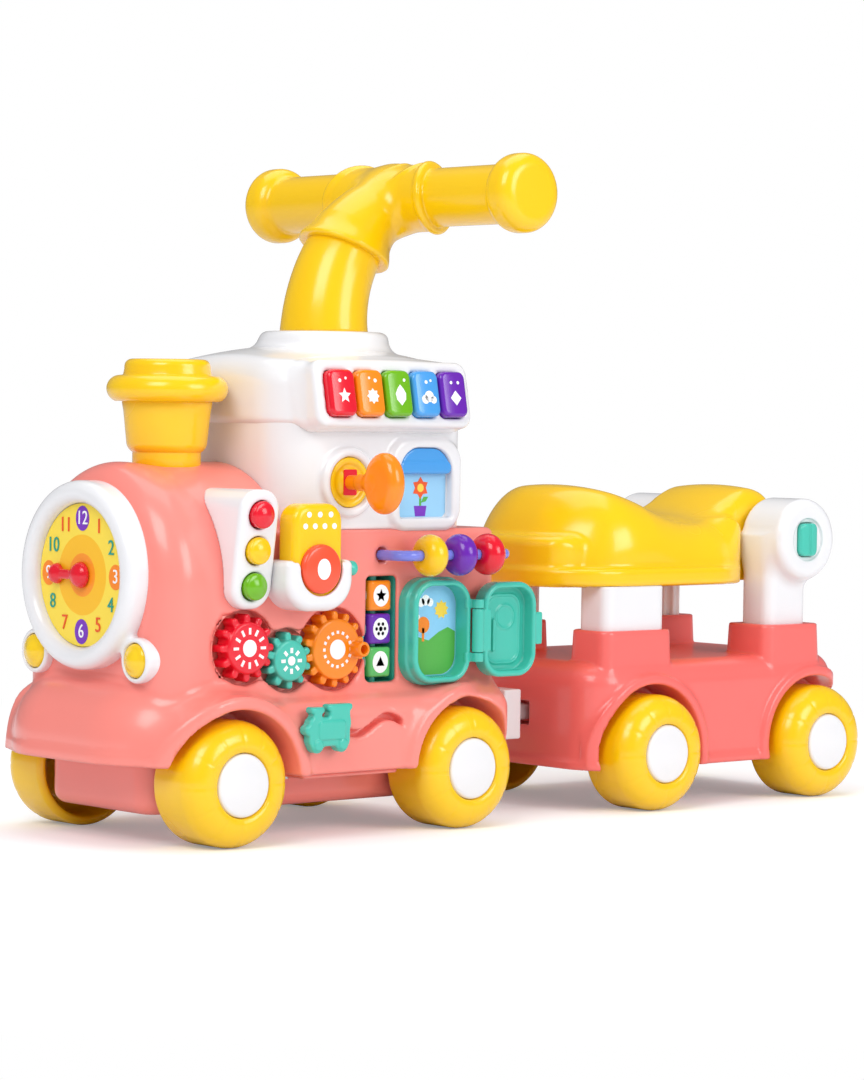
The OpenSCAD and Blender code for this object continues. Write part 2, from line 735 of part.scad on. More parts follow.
module clock_dial() color(yellow) at_loco() turned_x(0, clock_z)
    translate([2 + fit, boiler_front]) square([dial_r - gap - 2 - fit, -dial_x - boiler_front]);
module clock_hand() color(red) at_loco() {
    turned_x(0, clock_z) {
        translate([0, boiler_front + 0.5]) square([2, 9]);
        translate([0, -dial_x + gap]) square([7, 5]);
    }
    along_x(dial_x - gap - 4, dial_x - gap) translate([0, clock_z - 3]) square([28, 6]);
    turned_x(26, clock_z) translate([0, -dial_x + gap]) square([6.5, 4]);
}

// Signal panel
function light_face(z) = side_y + 10 + (z - 125) * light_slope;
module light_panel() color(white) at_loco() difference() {
    z0 = light_z - 1.65 * light_pitch;
    z1 = light_z + 1.7 * light_pitch;
    intersection() {
        along_x(light_x - panel_w / 2, light_x + panel_w / 2)
            polygon([[-light_face(z0) + 4, z0], [-light_face(z0 + 6), z0 + 6], [-light_face(z1), z1],
                [-side_y + 30, z1], [-side_y + 3, z0]]);
        translate([0, 0, (z0 + z1) / 2]) along_y(-200, 0) translate([light_x, 0])
            round_rect(panel_w, z1 - z0, 12);
    }
    boiler_solid(0);
    for (i = [-1 : 1]) light_at(i) rod_y(0, 0, light_d / 2 + gap, -30, 5 + light_travel + gap);
}
module light_at(i) translate([light_x, -light_face(light_z + i * light_pitch), light_z + i * light_pitch])
    children();
module light_button(i) at_loco() light_at(i) {
    r = light_d / 2;
    dome = 2.5;
    ball = (r * r + dome * dome) / (2 * dome);
    intersection() {
        rod_y(0, 0, r, -6.5, 5);
        translate([0, -6.5 + ball, 0]) sphere(ball);
    }
}
module light_red() color(red) light_button(1);
module light_yellow() color(yellow) light_button(0);
module light_green() color(green) light_button(-1);

// Phone
module phone_holder() color(white) at_loco() difference() {
    union() {
        along_y(-side_y - holder_t, -side_y + 12)
            translate([phone_x, holder_z + holder_h / 2]) round_rect(holder_w, holder_h, 10);
        translate([phone_x + holder_w / 2, -side_y - 8, holder_z + holder_h - 2])
            rotate([0, 90, 0]) cylinder(h = 6, r = 4.5, center = true);
    }
    translate([phone_x - phone_w / 2 - gap, -phone_y - phone_t - gap, phone_z - gap])
        cube([phone_w + 2 * gap, phone_t + 2 * gap, 100]);
    // Round cut in the front for the phone's ring
    along_y(-200, -phone_y - phone_t) {
        translate([phone_x, ring_z]) circle(ring_r + 1);
        translate([phone_x - ring_r - 1, ring_z]) square([2 * ring_r + 2, 100]);
    }
    boiler_solid(0);
    base_solid(0);
}
module phone() color(yellow) at_loco() along_y(-phone_y - phone_t, -phone_y)
    translate([phone_x, phone_z + phone_h / 2]) round_rect(phone_w, phone_h, 9);
module phone_ring() color("#FF5533") at_loco() turned_y(phone_x, ring_z) {
    translate([0, phone_y + phone_t]) square([ring_r - 2, 5]);
    translate([0, phone_y + phone_t]) square([ring_r, 3]);
    translate([ring_r - 2, phone_y + phone_t + 3]) circle(2);
}

// Gears
module gear_outline(teeth, phase) {
    root = gear_module * teeth / 2 - gear_ded;
    tip = gear_module * teeth / 2 + gear_add;
    step = 360 / teeth;
    wide = 0.31 * step;
    slim = 0.11 * step;
    polygon([for (i = [0 : teeth - 1], k = [0 : 3])
        let (a = phase + i * step + [-wide, -slim, slim, wide][k], r = [root, tip, tip, root][k])
        [r * cos(a), r * sin(a)]]);
}
module gear(x, z, teeth, phase) translate([x, 0, z]) difference() {
    along_y(-gear_y, -gear_y + gear_t) gear_outline(teeth, phase);
    rod_y(0, 0, post_r + fit, -gear_y + 3, -gear_y + gear_t + 5);
}
module gear_red() color(red) at_loco() gear(red_x, red_z, teeth_red, red_phase);
module gear_teal() color(teal) at_loco() gear(teal_x, teal_z, teeth_teal, teal_phase);
module gear_orange() color(orange) at_loco() {
    gear(orange_x, orange_z, teeth_orange, orange_phase);
    turned_y(orange_x + gear_orange_r - 7, orange_z) translate([0, gear_y]) square([4, 7]);
}
module gear_tray() color(salmon) at_loco() {
    difference() {
        gear_window(wall, -side_y + wall, -tray_floor + 3);
        gear_window(0, -side_y - 10, -tray_floor);
        // Room for the cube tray beside it
        translate([cube_x - cube_slot / 2 - cube_wall - gap, -side_y, 0]) cube([60, body_w, 2 * cube_mid]);
    }
    for (p = [[red_x, red_z], [teal_x, teal_z], [orange_x, orange_z]])
        rod_y(p[0], p[1], post_r, -gear_y + 3.4, -tray_floor + 1);
}

// Cubes
module cube_tray() color(teal) at_loco() translate([cube_x, 0, cube_mid]) {
    floor_y = cube_y - cube_reach - gap;
    difference() {
        along_y(-side_y + wall, -floor_y + 3)
            square([cube_slot + 2 * cube_wall, cube_tray_h + 2 * cube_wall], center = true);
        along_y(-side_y - 10, -floor_y) square([cube_slot, cube_tray_h], center = true);
    }
    translate([0, -cube_y, 0]) cylinder(h = cube_tray_h + 2 * cube_wall, r = cube_rod_r, center = true);
}
module picture_cube(i) at_loco() translate([cube_x, -cube_y, cube_mid + i * cube_pitch - cube_a / 2])
    linear_extrude(cube_a) difference() {
        round_rect(cube_a, cube_a, cube_round);
        circle(cube_rod_r + fit);
    }
module cube_orange() color(orange) picture_cube(1);
module cube_purple() color(purple) picture_cube(0);
module cube_green() color(green) picture_cube(-1);

// Hatch
module hatch_frame() color(teal) at_loco() translate([0, 0, hatch_z]) {
    difference() {
        union() {
            along_y(-frame_y, -side_y) translate([hatch_x, 0]) round_rect(frame_w, frame_h, 16);
            // Lugs of the hinge
            for (s = [-1, 1]) translate([0, 0, s * (door_h / 2 - 14)]) {
                translate([hinge_x, -hinge_y, 0]) cylinder(h = 6, r = hinge_r, center = true);
                translate([hinge_x - 8, -frame_y, -3]) cube([8, 3, 6]);
            }
        }
        along_y(-frame_y - 10, -side_y - 3) translate([hatch_x, 0]) round_rect(frame_w - 8, frame_h - 8, 13);
        // Room for the door's knuckle
        translate([hinge_x, -hinge_y, 0]) cylinder(h = door_h - 34, r = hinge_r + gap, center = true);
    }
    translate([hinge_x, -hinge_y, 0]) cylinder(h = door_h - 24, r = hinge_pin, center = true);
}
// The door stands fully open, folded back by half a turn
module hatch_door() color(teal) at_loco() translate([hinge_x, -hinge_y, hatch_z]) {
    y0 = frame_y - hinge_y + gap;
    difference() {
        union() {
            along_y(y0, y0 + door_t) translate([hinge_r + gap + door_w / 2, 0])
                round_rect(door_w, door_h, 15);
            cylinder(h = door_h - 35, r = hinge_r, center = true);
            translate([0, y0, -door_h / 2 + 18]) cube([hinge_r + 6, hinge_r - y0, door_h - 36]);
            translate([hinge_r + gap + door_w - 1, y0 + 1, -11]) cube([6, 6, 22]);
        }
        cylinder(h = door_h, r = hinge_pin + fit, center = true);
        along_y(y0 - 5, y0 + door_t - 3) translate([hinge_r + gap + door_w / 2, 0])
            round_rect(door_w - 8, door_h - 8, 11);
    }
}

// Beads
module bead_rod() color(lavender) at_loco() translate([0, 0, rod_z]) {
    translate([rod_x0 + rod_bend, -rod_y, 0]) rotate([0, 90, 0])
        cylinder(h = rod_x1 - rod_x0 - 2 * rod_bend, r = rod_r);
    translate([rod_x0 + rod_bend, -rod_y + rod_bend, 0]) rotate([0, 0, 180]) rotate_extrude(angle = 90)
        translate([rod_bend, 0]) circle(rod_r);
    translate([rod_x1 - rod_bend, -rod_y + rod_bend, 0]) rotate([0, 0, 270]) rotate_extrude(angle = 90)
        translate([rod_bend, 0]) circle(rod_r);
    for (x = [rod_x0, rod_x1]) rod_y(x, 0, rod_r, -rod_y + rod_bend, -side_y);
}
module bead(i) at_loco() translate([bead_at[i], -rod_y, rod_z]) rotate([0, 90, 0]) rotate_extrude()
    difference() {
        union() {
            square([bead_d - bead_l, bead_l], center = true);
            translate([bead_d / 2 - bead_l / 2, 0]) circle(bead_l / 2);
        }
        translate([-50, -50]) square([50 + rod_r + fit, 100]);
    }
module bead_yellow() color(yellow) bead(0);
module bead_purple() color(purple) bead(1);
module bead_red() color(red) bead(2);

// Slider of the wavy slot, shaped like a small engine
module slider() color(teal) at_loco() translate([slider_x, 0, slot_z]) {
    along_y(-skirt_y - gap - 11, -skirt_y - gap - 2) {
        translate([0, -4]) square([38, 20], center = true);
        translate([9, 8]) square([18, 14], center = true);
        translate([-10, 8]) square([8, 10], center = true);
    }
    rod_y(0, 0, slot_w / 2 - gap, -skirt_y - gap - 3, -skirt_y + wall + 3);
    rod_y(0, 0, slot_w / 2 + 2.5, -skirt_y + wall + gap, -skirt_y + wall + 3);
}

// Coupling
module drawbar() color(white) at_loco() {
    pivot = loco_wheelbase + coupling_span + trailer_front + hitch_x;
    head = pivot - hitch_x - 18;
    translate([skirt_back, -22, 6]) cube([4, 44, 36]);
    translate([skirt_back, -13, 16]) cube([head - skirt_back - 1, 26, 18]);
    translate([head - 16, -33, 9]) cube([16, 66, 35]);
    difference() {
        union() {
            translate([head - 1, -9, hitch_z - hitch_h / 2]) cube([pivot - head + 1, 18, hitch_h]);
            translate([pivot, 0, hitch_z]) cylinder(h = hitch_h, r = eye_r, center = true);
        }
        translate([pivot, 0, hitch_z]) cylinder(h = 60, r = hitch_pin_r + fit, center = true);
    }
}

// Trailer
module trailer_profile() {
    translate([-trailer_y, trailer_bottom]) square([trailer_w, deck_z - trailer_bottom - trailer_round]);
    translate([-trailer_y + trailer_round, trailer_bottom])
        square([trailer_w - 2 * trailer_round, deck_z - trailer_bottom]);
    for (s = [-1, 1]) translate([s * (trailer_y - trailer_round), deck_z - trailer_round])
        circle(trailer_round);
}
module trailer_body() color(salmon) at_trailer() {
    mid = (trailer_front + trailer_back) / 2;
    len = trailer_back - trailer_front;
    pin_x = trailer_front + hitch_x;
    low = hitch_z - hitch_h / 2 - 3;
    high = hitch_z + hitch_h / 2 + 3;
    difference() {
        union() {
            intersection() {
                along_x(trailer_front, trailer_back) trailer_profile();
                translate([mid, 0, -20]) linear_extrude(120) round_rect(len, trailer_w, 28);
            }
            intersection() {
                for (x = [0, trailer_wheelbase]) rod_y(x, 0, fender_r - 2, -trailer_y - 4, trailer_y + 4);
                translate([trailer_front, -trailer_w, -wheel_d]) cube([len, 2 * trailer_w, 2 * wheel_d]);
            }
            // Sockets for pillars and posts
            both_sides() translate([0, -socket_y, deck_z - 10]) {
                translate([pillar_x, 0, 0]) linear_extrude(socket_h + 10)
                    round_rect(pillar_l + 8, pillar_w + 8, 9);
                translate([post_x, 0, 0]) linear_extrude(socket_h + 10)
                    round_rect(post_l + 16, post_w + 14, 9);
            }
        }
        // Hollow underside
        difference() {
            translate([trailer_front + 4, -tray_in, -60])
                cube([len - 8, 2 * tray_in, 60 + deck_z - 4]);
            for (z = [low - 9, high]) translate([trailer_front, -24, z]) cube([24, 48, 9]);
            translate([pin_x, 0, low - 1]) cylinder(h = high - low + 2, r = hitch_pin_r);
            for (x = [0, trailer_wheelbase], s = [-1, 1])
                translate([x - 14, s * (tray_in - 3) - 5, -12]) cube([28, 10, 80]);
        }
        for (s = [-1, 1]) translate([well_r + 8, s > 0 ? well_in : -trailer_y + 4, -20])
            cube([trailer_wheelbase - 2 * well_r - 16, trailer_y - 4 - well_in, 20 + deck_z - 14]);
        difference() {
            translate([-200, -200, -100]) cube([600, 400, 100 + trailer_bottom]);
            for (x = [0, trailer_wheelbase], s = [-1, 1])
                translate([x - 14, s * (tray_in - 3) - 5, -12]) cube([28, 10, 20]);
        }
        for (x = [0, trailer_wheelbase]) {
            rod_y(x, 0, axle_r + fit, -trailer_w, trailer_w);
            for (s = [-1, 1]) translate([0, s > 0 ? well_in + 60 : -well_in, 0]) rod_y(x, 0, well_r, -60, 0);
        }
        // Slot for the drawbar's eye
        difference() {
            translate([trailer_front - 1, -22, low]) cube([10, 44, high - low]);
            translate([pin_x, 0, low - 1]) cylinder(h = high - low + 2, r = hitch_pin_r);
        }
        both_sides() translate([0, -socket_y, deck_z]) {
            translate([pillar_x, 0, 0]) linear_extrude(60) round_rect(pillar_l + gap, pillar_w + gap, 7);
            translate([post_x, 0, 0]) linear_extrude(60) round_rect(post_l + gap, post_w + gap, 7);
        }
    }
}
module front_pillars() color(white) at_trailer() both_sides() translate([pillar_x, -socket_y, deck_z])
    difference() {
        linear_extrude(seat_z - deck_z) round_rect(pillar_l, pillar_w, 7);
        translate([0, 0, -1]) linear_extrude(seat_z - deck_z - 4) round_rect(pillar_l - 8, pillar_w - 8, 3);
    }
module release_outline(grow) translate([cap_x, cap_z]) round_rect(18 + grow, 24 + grow, 5 + grow / 2);
module rear_posts() color(white) at_trailer() both_sides() difference() {
    union() {
        translate([post_x, -socket_y, deck_z]) linear_extrude(cap_z - deck_z) round_rect(post_l, post_w, 7);
        rod_y(cap_x, cap_z, cap_r, -cap_out, -cap_in);
    }
    rod_y(cap_x, cap_z, pin_r + fit, -cap_in - 14, -cap_in + 10);
    translate([post_x, -socket_y, deck_z - 1]) linear_extrude(cap_z - cap_r - deck_z - 3)
        round_rect(post_l - 8, post_w - 8, 3);
    along_y(-cap_out - 10, -cap_out + 12) release_outline(2 * gap);
}
module release_button() along_y(-cap_out - 2, -cap_out + 12 - release_travel - gap) release_outline(0);
module release_left() color(teal) at_trailer() release_button();
module release_right() color(teal) at_trailer() mirror([0, 1, 0]) release_button();

// Seat: a saddle with a front hump, a dip and a low back
function bump(x, c, w) = exp(-pow((x - c) / w, 2));
function seat_fall(t) = 26 * (1 - sqrt(1 - t * t));
function seat_top(x) = 44 + 28 * bump(x, -25, x < -25 ? 45 : 58) + 26 * bump(x, cap_x - 8, 27)
    - seat_fall(max(0, 1 - (x - seat_front) / 40));
function corner_y(t, half, r) = half - (t < r ? r - sqrt(r * r - pow(r - t, 2)) : 0);
function seat_half(x) = min(corner_y(x - seat_front, seat_w / 2, 58),
    corner_y(seat_back - x, seat_w / 2, 16));
function grid_at(rows, i, j) = i * (rows + 1) + j;
function grid_quad(rows, i, j, n) = [n + grid_at(rows, i, j), n + grid_at(rows, i, j + 1),
    n + grid_at(rows, i + 1, j + 1), n + grid_at(rows, i + 1, j)];
function grid_side(a, b, n) = [a, b, n + b, n + a];
module seat_pan(inset) {
    cols = 34;
    rows = 20;
    x0 = seat_front + inset;
    x1 = seat_back - inset;
    pts = [for (i = [0 : cols], j = [0 : rows])
        let (u = (1 - cos(180 * i / cols)) / 2, v = -cos(180 * j / rows), x = x0 + u * (x1 - x0),
            edge = min(1, 8 * (1 - abs(v))), z = seat_top(x) - inset - 9 * pow(1 - edge, 2))
        [x, v * (seat_half(x) - inset), seat_z + z]];
    foot = [for (p = pts) [p[0], p[1], seat_z + inset]];
    n = (cols + 1) * (rows + 1);
    faces = concat(
        [for (i = [0 : cols - 1], j = [0 : rows - 1]) grid_quad(rows, i, j, 0)],
        [for (i = [0 : cols - 1], j = [0 : rows - 1])
            let (q = grid_quad(rows, i, j, n)) [q[3], q[2], q[1], q[0]]],
        [for (i = [0 : cols - 1]) grid_side(grid_at(rows, i, 0), grid_at(rows, i + 1, 0), n)],
        [for (i = [0 : cols - 1]) grid_side(grid_at(rows, i + 1, rows), grid_at(rows, i, rows), n)],
        [for (j = [0 : rows - 1]) grid_side(grid_at(rows, 0, j + 1), grid_at(rows, 0, j), n)],
        [for (j = [0 : rows - 1]) grid_side(grid_at(rows, cols, j), grid_at(rows, cols, j + 1), n)]);
    polyhedron(points = concat(pts, foot), faces = faces);
}
module seat_low_back(inset) {
    x0 = inset > 0 ? seat_back + inset : seat_back - 30;
    x1 = back_end - inset;
    along_y(-back_w / 2 + inset, back_w / 2 - inset) polygon(concat([[x0, seat_z + inset]],
        [for (i = [0 : 14]) let (x = x0 + (x1 - x0) * i / 14) [x, seat_z + seat_top(x) - inset]],
        [[x1, seat_z + inset]]));
}
// Blow-moulded hollow saddle: a pan with front hump and dip, a low back between the caps, hinge pins
module seat() color(yellow) at_trailer() difference() {
    union() {
        seat_pan(0);
        seat_low_back(0);
        both_sides() rod_y(cap_x, cap_z, pin_r, -cap_in - 12, -back_w / 2 + 2);
    }
    seat_pan(4);
    seat_low_back(4);
}

loco_body();
loco_chassis();
cab_shell();
cab_roof();
chimney();
handle_neck();
handle_bar();
clock_bezel();
clock_dial();
clock_hand();
headlights();
light_panel();
light_red();
light_yellow();
light_green();
phone_holder();
phone();
phone_ring();
gear_tray();
gear_red();
gear_teal();
gear_orange();
cube_tray();
cube_orange();
cube_purple();
cube_green();
hatch_frame();
hatch_door();
bead_rod();
bead_yellow();
bead_purple();
bead_red();
slider();
key_red();
key_orange();
key_green();
key_blue();
key_purple();
lock_disc();
key_knob();
window_card();
window_blind();
drawbar();
loco_front_wheels();
loco_front_axle();
loco_rear_wheels();
loco_rear_axle();
trailer_body();
front_pillars();
rear_posts();
seat();
release_left();
release_right();
trailer_front_wheels();
trailer_front_axle();
trailer_rear_wheels();
trailer_rear_axle();
sound_module();
battery_box();
screws();
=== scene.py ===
import json
import math

import bmesh
import bpy
import numpy as np
import openvdb
from mathutils import Matrix, Vector


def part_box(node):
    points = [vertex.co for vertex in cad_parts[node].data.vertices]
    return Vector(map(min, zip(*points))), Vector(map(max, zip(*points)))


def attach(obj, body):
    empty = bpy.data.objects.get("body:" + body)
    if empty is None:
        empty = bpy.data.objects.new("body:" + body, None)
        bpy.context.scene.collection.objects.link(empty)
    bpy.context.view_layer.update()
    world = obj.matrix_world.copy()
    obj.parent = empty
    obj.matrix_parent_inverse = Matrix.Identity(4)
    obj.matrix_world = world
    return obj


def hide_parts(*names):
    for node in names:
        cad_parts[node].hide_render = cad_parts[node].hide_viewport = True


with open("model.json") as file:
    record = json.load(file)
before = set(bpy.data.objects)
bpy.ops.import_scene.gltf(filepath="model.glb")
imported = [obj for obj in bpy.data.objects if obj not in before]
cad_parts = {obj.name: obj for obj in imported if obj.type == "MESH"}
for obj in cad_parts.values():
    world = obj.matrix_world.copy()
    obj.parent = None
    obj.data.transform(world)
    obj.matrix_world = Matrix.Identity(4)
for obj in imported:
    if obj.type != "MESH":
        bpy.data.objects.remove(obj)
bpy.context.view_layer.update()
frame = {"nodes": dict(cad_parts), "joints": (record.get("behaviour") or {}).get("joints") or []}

# Studio
# The train stands on a white paper sweep under large soft lamps. The camera has the
# photograph's place and lens, found from the wheels and the body's edges.
scene = bpy.context.scene
scene.view_settings.view_transform = "Standard"
photo_h = 1080
focal_px = 3561
camera_place = Vector((-1.6523, -1.8650, 0.2792))
camera_yaw, camera_pitch, camera_roll = 0.7221, 0.0361, 0.0137
sensor_mm = 36

ahead = Vector((math.sin(camera_yaw) * math.cos(camera_pitch),
                math.cos(camera_yaw) * math.cos(camera_pitch), -math.sin(camera_pitch)))
level = Vector((math.cos(camera_yaw), -math.sin(camera_yaw), 0))
upright = level.cross(ahead)
camera_right = level * math.cos(camera_roll) + upright * math.sin(camera_roll)
camera_up = upright * math.cos(camera_roll) - level * math.sin(camera_roll)


def placed(name, data):
    """An object with its data, linked to the scene."""
    made = bpy.data.objects.new(name, data)
    scene.collection.objects.link(made)
    return made


camera = placed("camera", bpy.data.cameras.new("camera"))
camera.matrix_world = Matrix.Translation(camera_place) @ Matrix(
    (camera_right, camera_up, -ahead)).transposed().to_4x4()
camera.data.sensor_width = sensor_mm
camera.data.lens = focal_px / photo_h * sensor_mm
camera.data.clip_end = 50
scene.camera = camera


def add_node(tree, kind, inputs=None, **settings):
    """A node of a tree with its settings; an input takes a value or another node's socket."""
    made = tree.nodes.new(kind)
    for key, value in settings.items():
        setattr(made, key, value)
    for key, value in (inputs or {}).items():
        if isinstance(value, bpy.types.NodeSocket):
            tree.links.new(value, made.inputs[key])
        else:
            made.inputs[key].default_value = value
    return made


def linear(hex_colour):
    """An sRGB hex colour as linear RGBA."""
    parts = [int(hex_colour[i:i + 2], 16) / 255 for i in (1, 3, 5)]
    return [c / 12.92 if c <= 0.04045 else ((c + 0.055) / 1.055) ** 2.4 for c in parts] + [1]


def lamp(name, place, target, size, watts):
    """A square soft box that points at the target."""
    made = placed(name, bpy.data.lights.new(name, "AREA"))
    made.data.size = size
    made.data.energy = watts
    made.location = place
    made.rotation_euler = (Vector(target) - Vector(place)).to_track_quat("-Z", "Y").to_euler()


lamp("key_box", (-1.9, -1.0, 1.9), (-0.1, 0, 0.2), 1.3, 27)
lamp("side_box", (0.6, -2.2, 1.1), (0, 0, 0.2), 1.2, 21)
lamp("top_box", (0.2, 0.3, 2.2), (0, 0, 0.2), 1.8, 15)

world = bpy.data.worlds.new("white_room")
scene.world = world
world.use_nodes = True
sky_tree = world.node_tree
sky_tree.nodes.clear()
rays = add_node(sky_tree, "ShaderNodeLightPath")
seen = add_node(sky_tree, "ShaderNodeMath", {0: rays.outputs["Is Camera Ray"],
                1: rays.outputs["Is Transmission Ray"]}, operation="MAXIMUM")
# Reflections see a darker room than the diffuse light, so that the colours stay deep
room_power = add_node(sky_tree, "ShaderNodeMath", {0: rays.outputs["Is Glossy Ray"], 1: -0.4, 2: 0.6},
                      operation="MULTIPLY_ADD")
room_light = add_node(sky_tree, "ShaderNodeBackground", {"Color": (0.95, 0.97, 1, 1),
                      "Strength": room_power.outputs[0]})
room_seen = add_node(sky_tree, "ShaderNodeBackground", {"Color": (1, 1, 1, 1), "Strength": 1})
room = add_node(sky_tree, "ShaderNodeMixShader", {0: seen.outputs[0], 1: room_light.outputs[0],
                2: room_seen.outputs[0]})
add_node(sky_tree, "ShaderNodeOutputWorld", {"Surface": room.outputs[0]})


def new_material(name):
    """A material with an empty node tree, and the tree."""
    made = bpy.data.materials.new(name)
    made.use_nodes = True
    made.node_tree.nodes.clear()
    return made, made.node_tree


floor_half = 30
fade_from, fade_to = 0.45, 0.95
floor_mesh = bpy.data.meshes.new("floor")
floor_mesh.from_pydata([(-floor_half, -floor_half, 0), (floor_half, -floor_half, 0),
                        (floor_half, floor_half, 0), (-floor_half, floor_half, 0)], [], [(0, 1, 2, 3)])
floor = placed("floor", floor_mesh)
paper, paper_tree = new_material("white_paper")
paper_rays = add_node(paper_tree, "ShaderNodeLightPath")
paper_white = add_node(paper_tree, "ShaderNodeBsdfPrincipled", {
    "Base Color": (0.84, 0.85, 0.86, 1), "Roughness": 0.9, "Specular IOR Level": 0.1})
paper_glow = add_node(paper_tree, "ShaderNodeEmission", {"Color": (1, 1, 1, 1), "Strength": 0.24})
paper_near = add_node(paper_tree, "ShaderNodeAddShader", {0: paper_white.outputs[0],
                      1: paper_glow.outputs[0]})
# The paper fades to pure white a little way from the train, so that no horizon shows
paper_at = add_node(paper_tree, "ShaderNodeNewGeometry")
paper_away = add_node(paper_tree, "ShaderNodeVectorMath", {0: paper_at.outputs["Position"]},
                      operation="LENGTH")
paper_fade = add_node(paper_tree, "ShaderNodeMapRange", {"Value": paper_away.outputs["Value"],
                      "From Min": fade_from, "From Max": fade_to}, interpolation_type="SMOOTHSTEP")
paper_far = add_node(paper_tree, "ShaderNodeEmission", {"Color": (1, 1, 1, 1), "Strength": 1})
paper_seen = add_node(paper_tree, "ShaderNodeMixShader", {0: paper_fade.outputs["Result"],
                      1: paper_near.outputs[0], 2: paper_far.outputs[0]})
paper_mix = add_node(paper_tree, "ShaderNodeMixShader", {0: paper_rays.outputs["Is Camera Ray"],
                     1: paper_white.outputs[0], 2: paper_seen.outputs[0]})
add_node(paper_tree, "ShaderNodeOutputMaterial", {"Surface": paper_mix.outputs[0]})
floor.data.materials.append(paper)

# Locomotive body
# One blow-moulded shell of salmon polypropylene: the boiler arch with its soft front edge, the
# base under the cab, a wider skirt with wheel arches and a bulging nose. Openings are cut for
# the gears, the cubes, the bead rod's ends and the slider. A salmon tray closes it from below.
mm = 0.001


def joint_place(name):
    """A joint's place in millimetres, in the frame."""
    return Vector(next(j["pos_m"] for j in frame["joints"] if j["name"] == name)) / mm


front_axle = joint_place("loco_front_roll")
loco_wheelbase = joint_place("loco_rear_roll").x - front_axle.x


def box_of(node):
    """A CAD node's lower and upper corner, in millimetres from the front axle."""
    return [corner / mm - front_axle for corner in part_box(node)]


def join(a, b, r):
    """Union of two fields with a fillet of radius r."""
    return np.maximum(r, np.minimum(a, b)) - np.hypot(np.maximum(r - a, 0), np.maximum(r - b, 0))


def meet(a, b, r):
    """What two fields share, with its edge rounded to radius r."""
    return np.minimum(-r, np.maximum(a, b)) + np.hypot(np.maximum(r + a, 0), np.maximum(r + b, 0))


def cut(a, b, r):
    """The first field less the second, with its edge rounded to radius r."""
    return meet(a, -b, r)


def plate(u, v, half_u, half_v, corner):
    """Distance to a rectangle with round corners, in its own plane."""
    a = np.abs(u) - half_u + corner
    b = np.abs(v) - half_v + corner
    return np.hypot(np.maximum(a, 0), np.maximum(b, 0)) + np.minimum(np.maximum(a, b), 0) - corner


def span(u, low, high):
    """Distance to the slice between two parallel planes."""
    return np.maximum(low - u, u - high)


def shade(piece, smooth):
    """Shades the whole piece smooth or flat."""
    piece.data.polygons.foreach_set("use_smooth", [smooth] * len(piece.data.polygons))


def mesh_of(name, points, faces, smooth=True):
    """An object from points in metres and lists of faces."""
    mesh = bpy.data.meshes.new(name)
    mesh.from_pydata([tuple(p) for p in points], [], [tuple(f) for f in faces])
    made = placed(name, mesh)
    shade(made, smooth)
    mesh.update()
    return made


def moulded(name, field, low, high, cell, place=front_axle):
    """The surface where a field in millimetres is zero; place is the field's own origin."""
    low = np.array(low, float)
    counts = np.ceil((np.array(high, float) - low) / cell).astype(int) + 1
    lines = [low[i] + cell * np.arange(counts[i]) for i in range(3)]
    values = field(np.meshgrid(*lines, indexing="ij", sparse=True))
    values = np.broadcast_to(values, counts)
    grid = openvdb.FloatGrid(4 * cell)
    grid.copyFromArray(np.ascontiguousarray(np.clip(values, -4 * cell, 4 * cell), dtype=np.float32))
    points, quads = grid.convertToQuads(0.0)
    points = low + points.astype(float) * cell
    # Each point is drawn onto the true surface along the field's slope
    probe = 0.2 * cell
    for _ in range(3):
        here = field(points.T)
        slope = np.stack([(field((points + probe * step).T) - here) / probe for step in np.eye(3)], 1)
        move = here[:, None] * slope / np.maximum((slope ** 2).sum(1), 0.2)[:, None]
        points -= np.clip(move, -0.6 * cell, 0.6 * cell)
    return mesh_of(name, (points + np.array(place)) * mm, quads.tolist())


def paint(piece, material):
    """Gives the whole piece one material."""
    piece.data.materials.clear()
    piece.data.materials.append(material)


def fasten(piece, material, body, slot, *nodes):
    """A piece takes its material, rides on a body and stands for CAD nodes; slot is not used."""
    paint(piece, material)
    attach(piece, body)
    if nodes:
        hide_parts(*nodes)


def grain(tree, width_mm, detail):
    """Noise of a width, fixed to the piece."""
    where = add_node(tree, "ShaderNodeTexCoord").outputs["Object"]
    return add_node(tree, "ShaderNodeTexNoise", {"Vector": where, "Scale": 1 / (width_mm * mm),
                    "Detail": detail}).outputs["Fac"]


def between(tree, share, low, high):
    """A share from 0 to 1 as a value between two ends."""
    return add_node(tree, "ShaderNodeMapRange", {"Value": share, "To Min": low,
                    "To Max": high}).outputs["Result"]


def two_tone(tree, share, hex_colour, spread):
    """A colour that wanders a little to the dark and to the bright side."""
    tone = linear(hex_colour)[:3]
    return add_node(tree, "ShaderNodeMix", {
        "Factor": share, "A": [c * (1 - spread) for c in tone] + [1],
        "B": [min(1, c * (1 + spread)) for c in tone] + [1]}, data_type="RGBA").outputs["Result"]


def relief(tree, height, strength):
    """A tenth of a millimetre of relief in the surface."""
    return add_node(tree, "ShaderNodeBump", {"Height": height, "Strength": strength,
                    "Distance": 0.1 * mm}).outputs["Normal"]


def surface(tree, inputs):
    """The tree's output: a principled surface with these inputs."""
    skin = add_node(tree, "ShaderNodeBsdfPrincipled", inputs)
    add_node(tree, "ShaderNodeOutputMaterial", {"Surface": skin.outputs["BSDF"]})


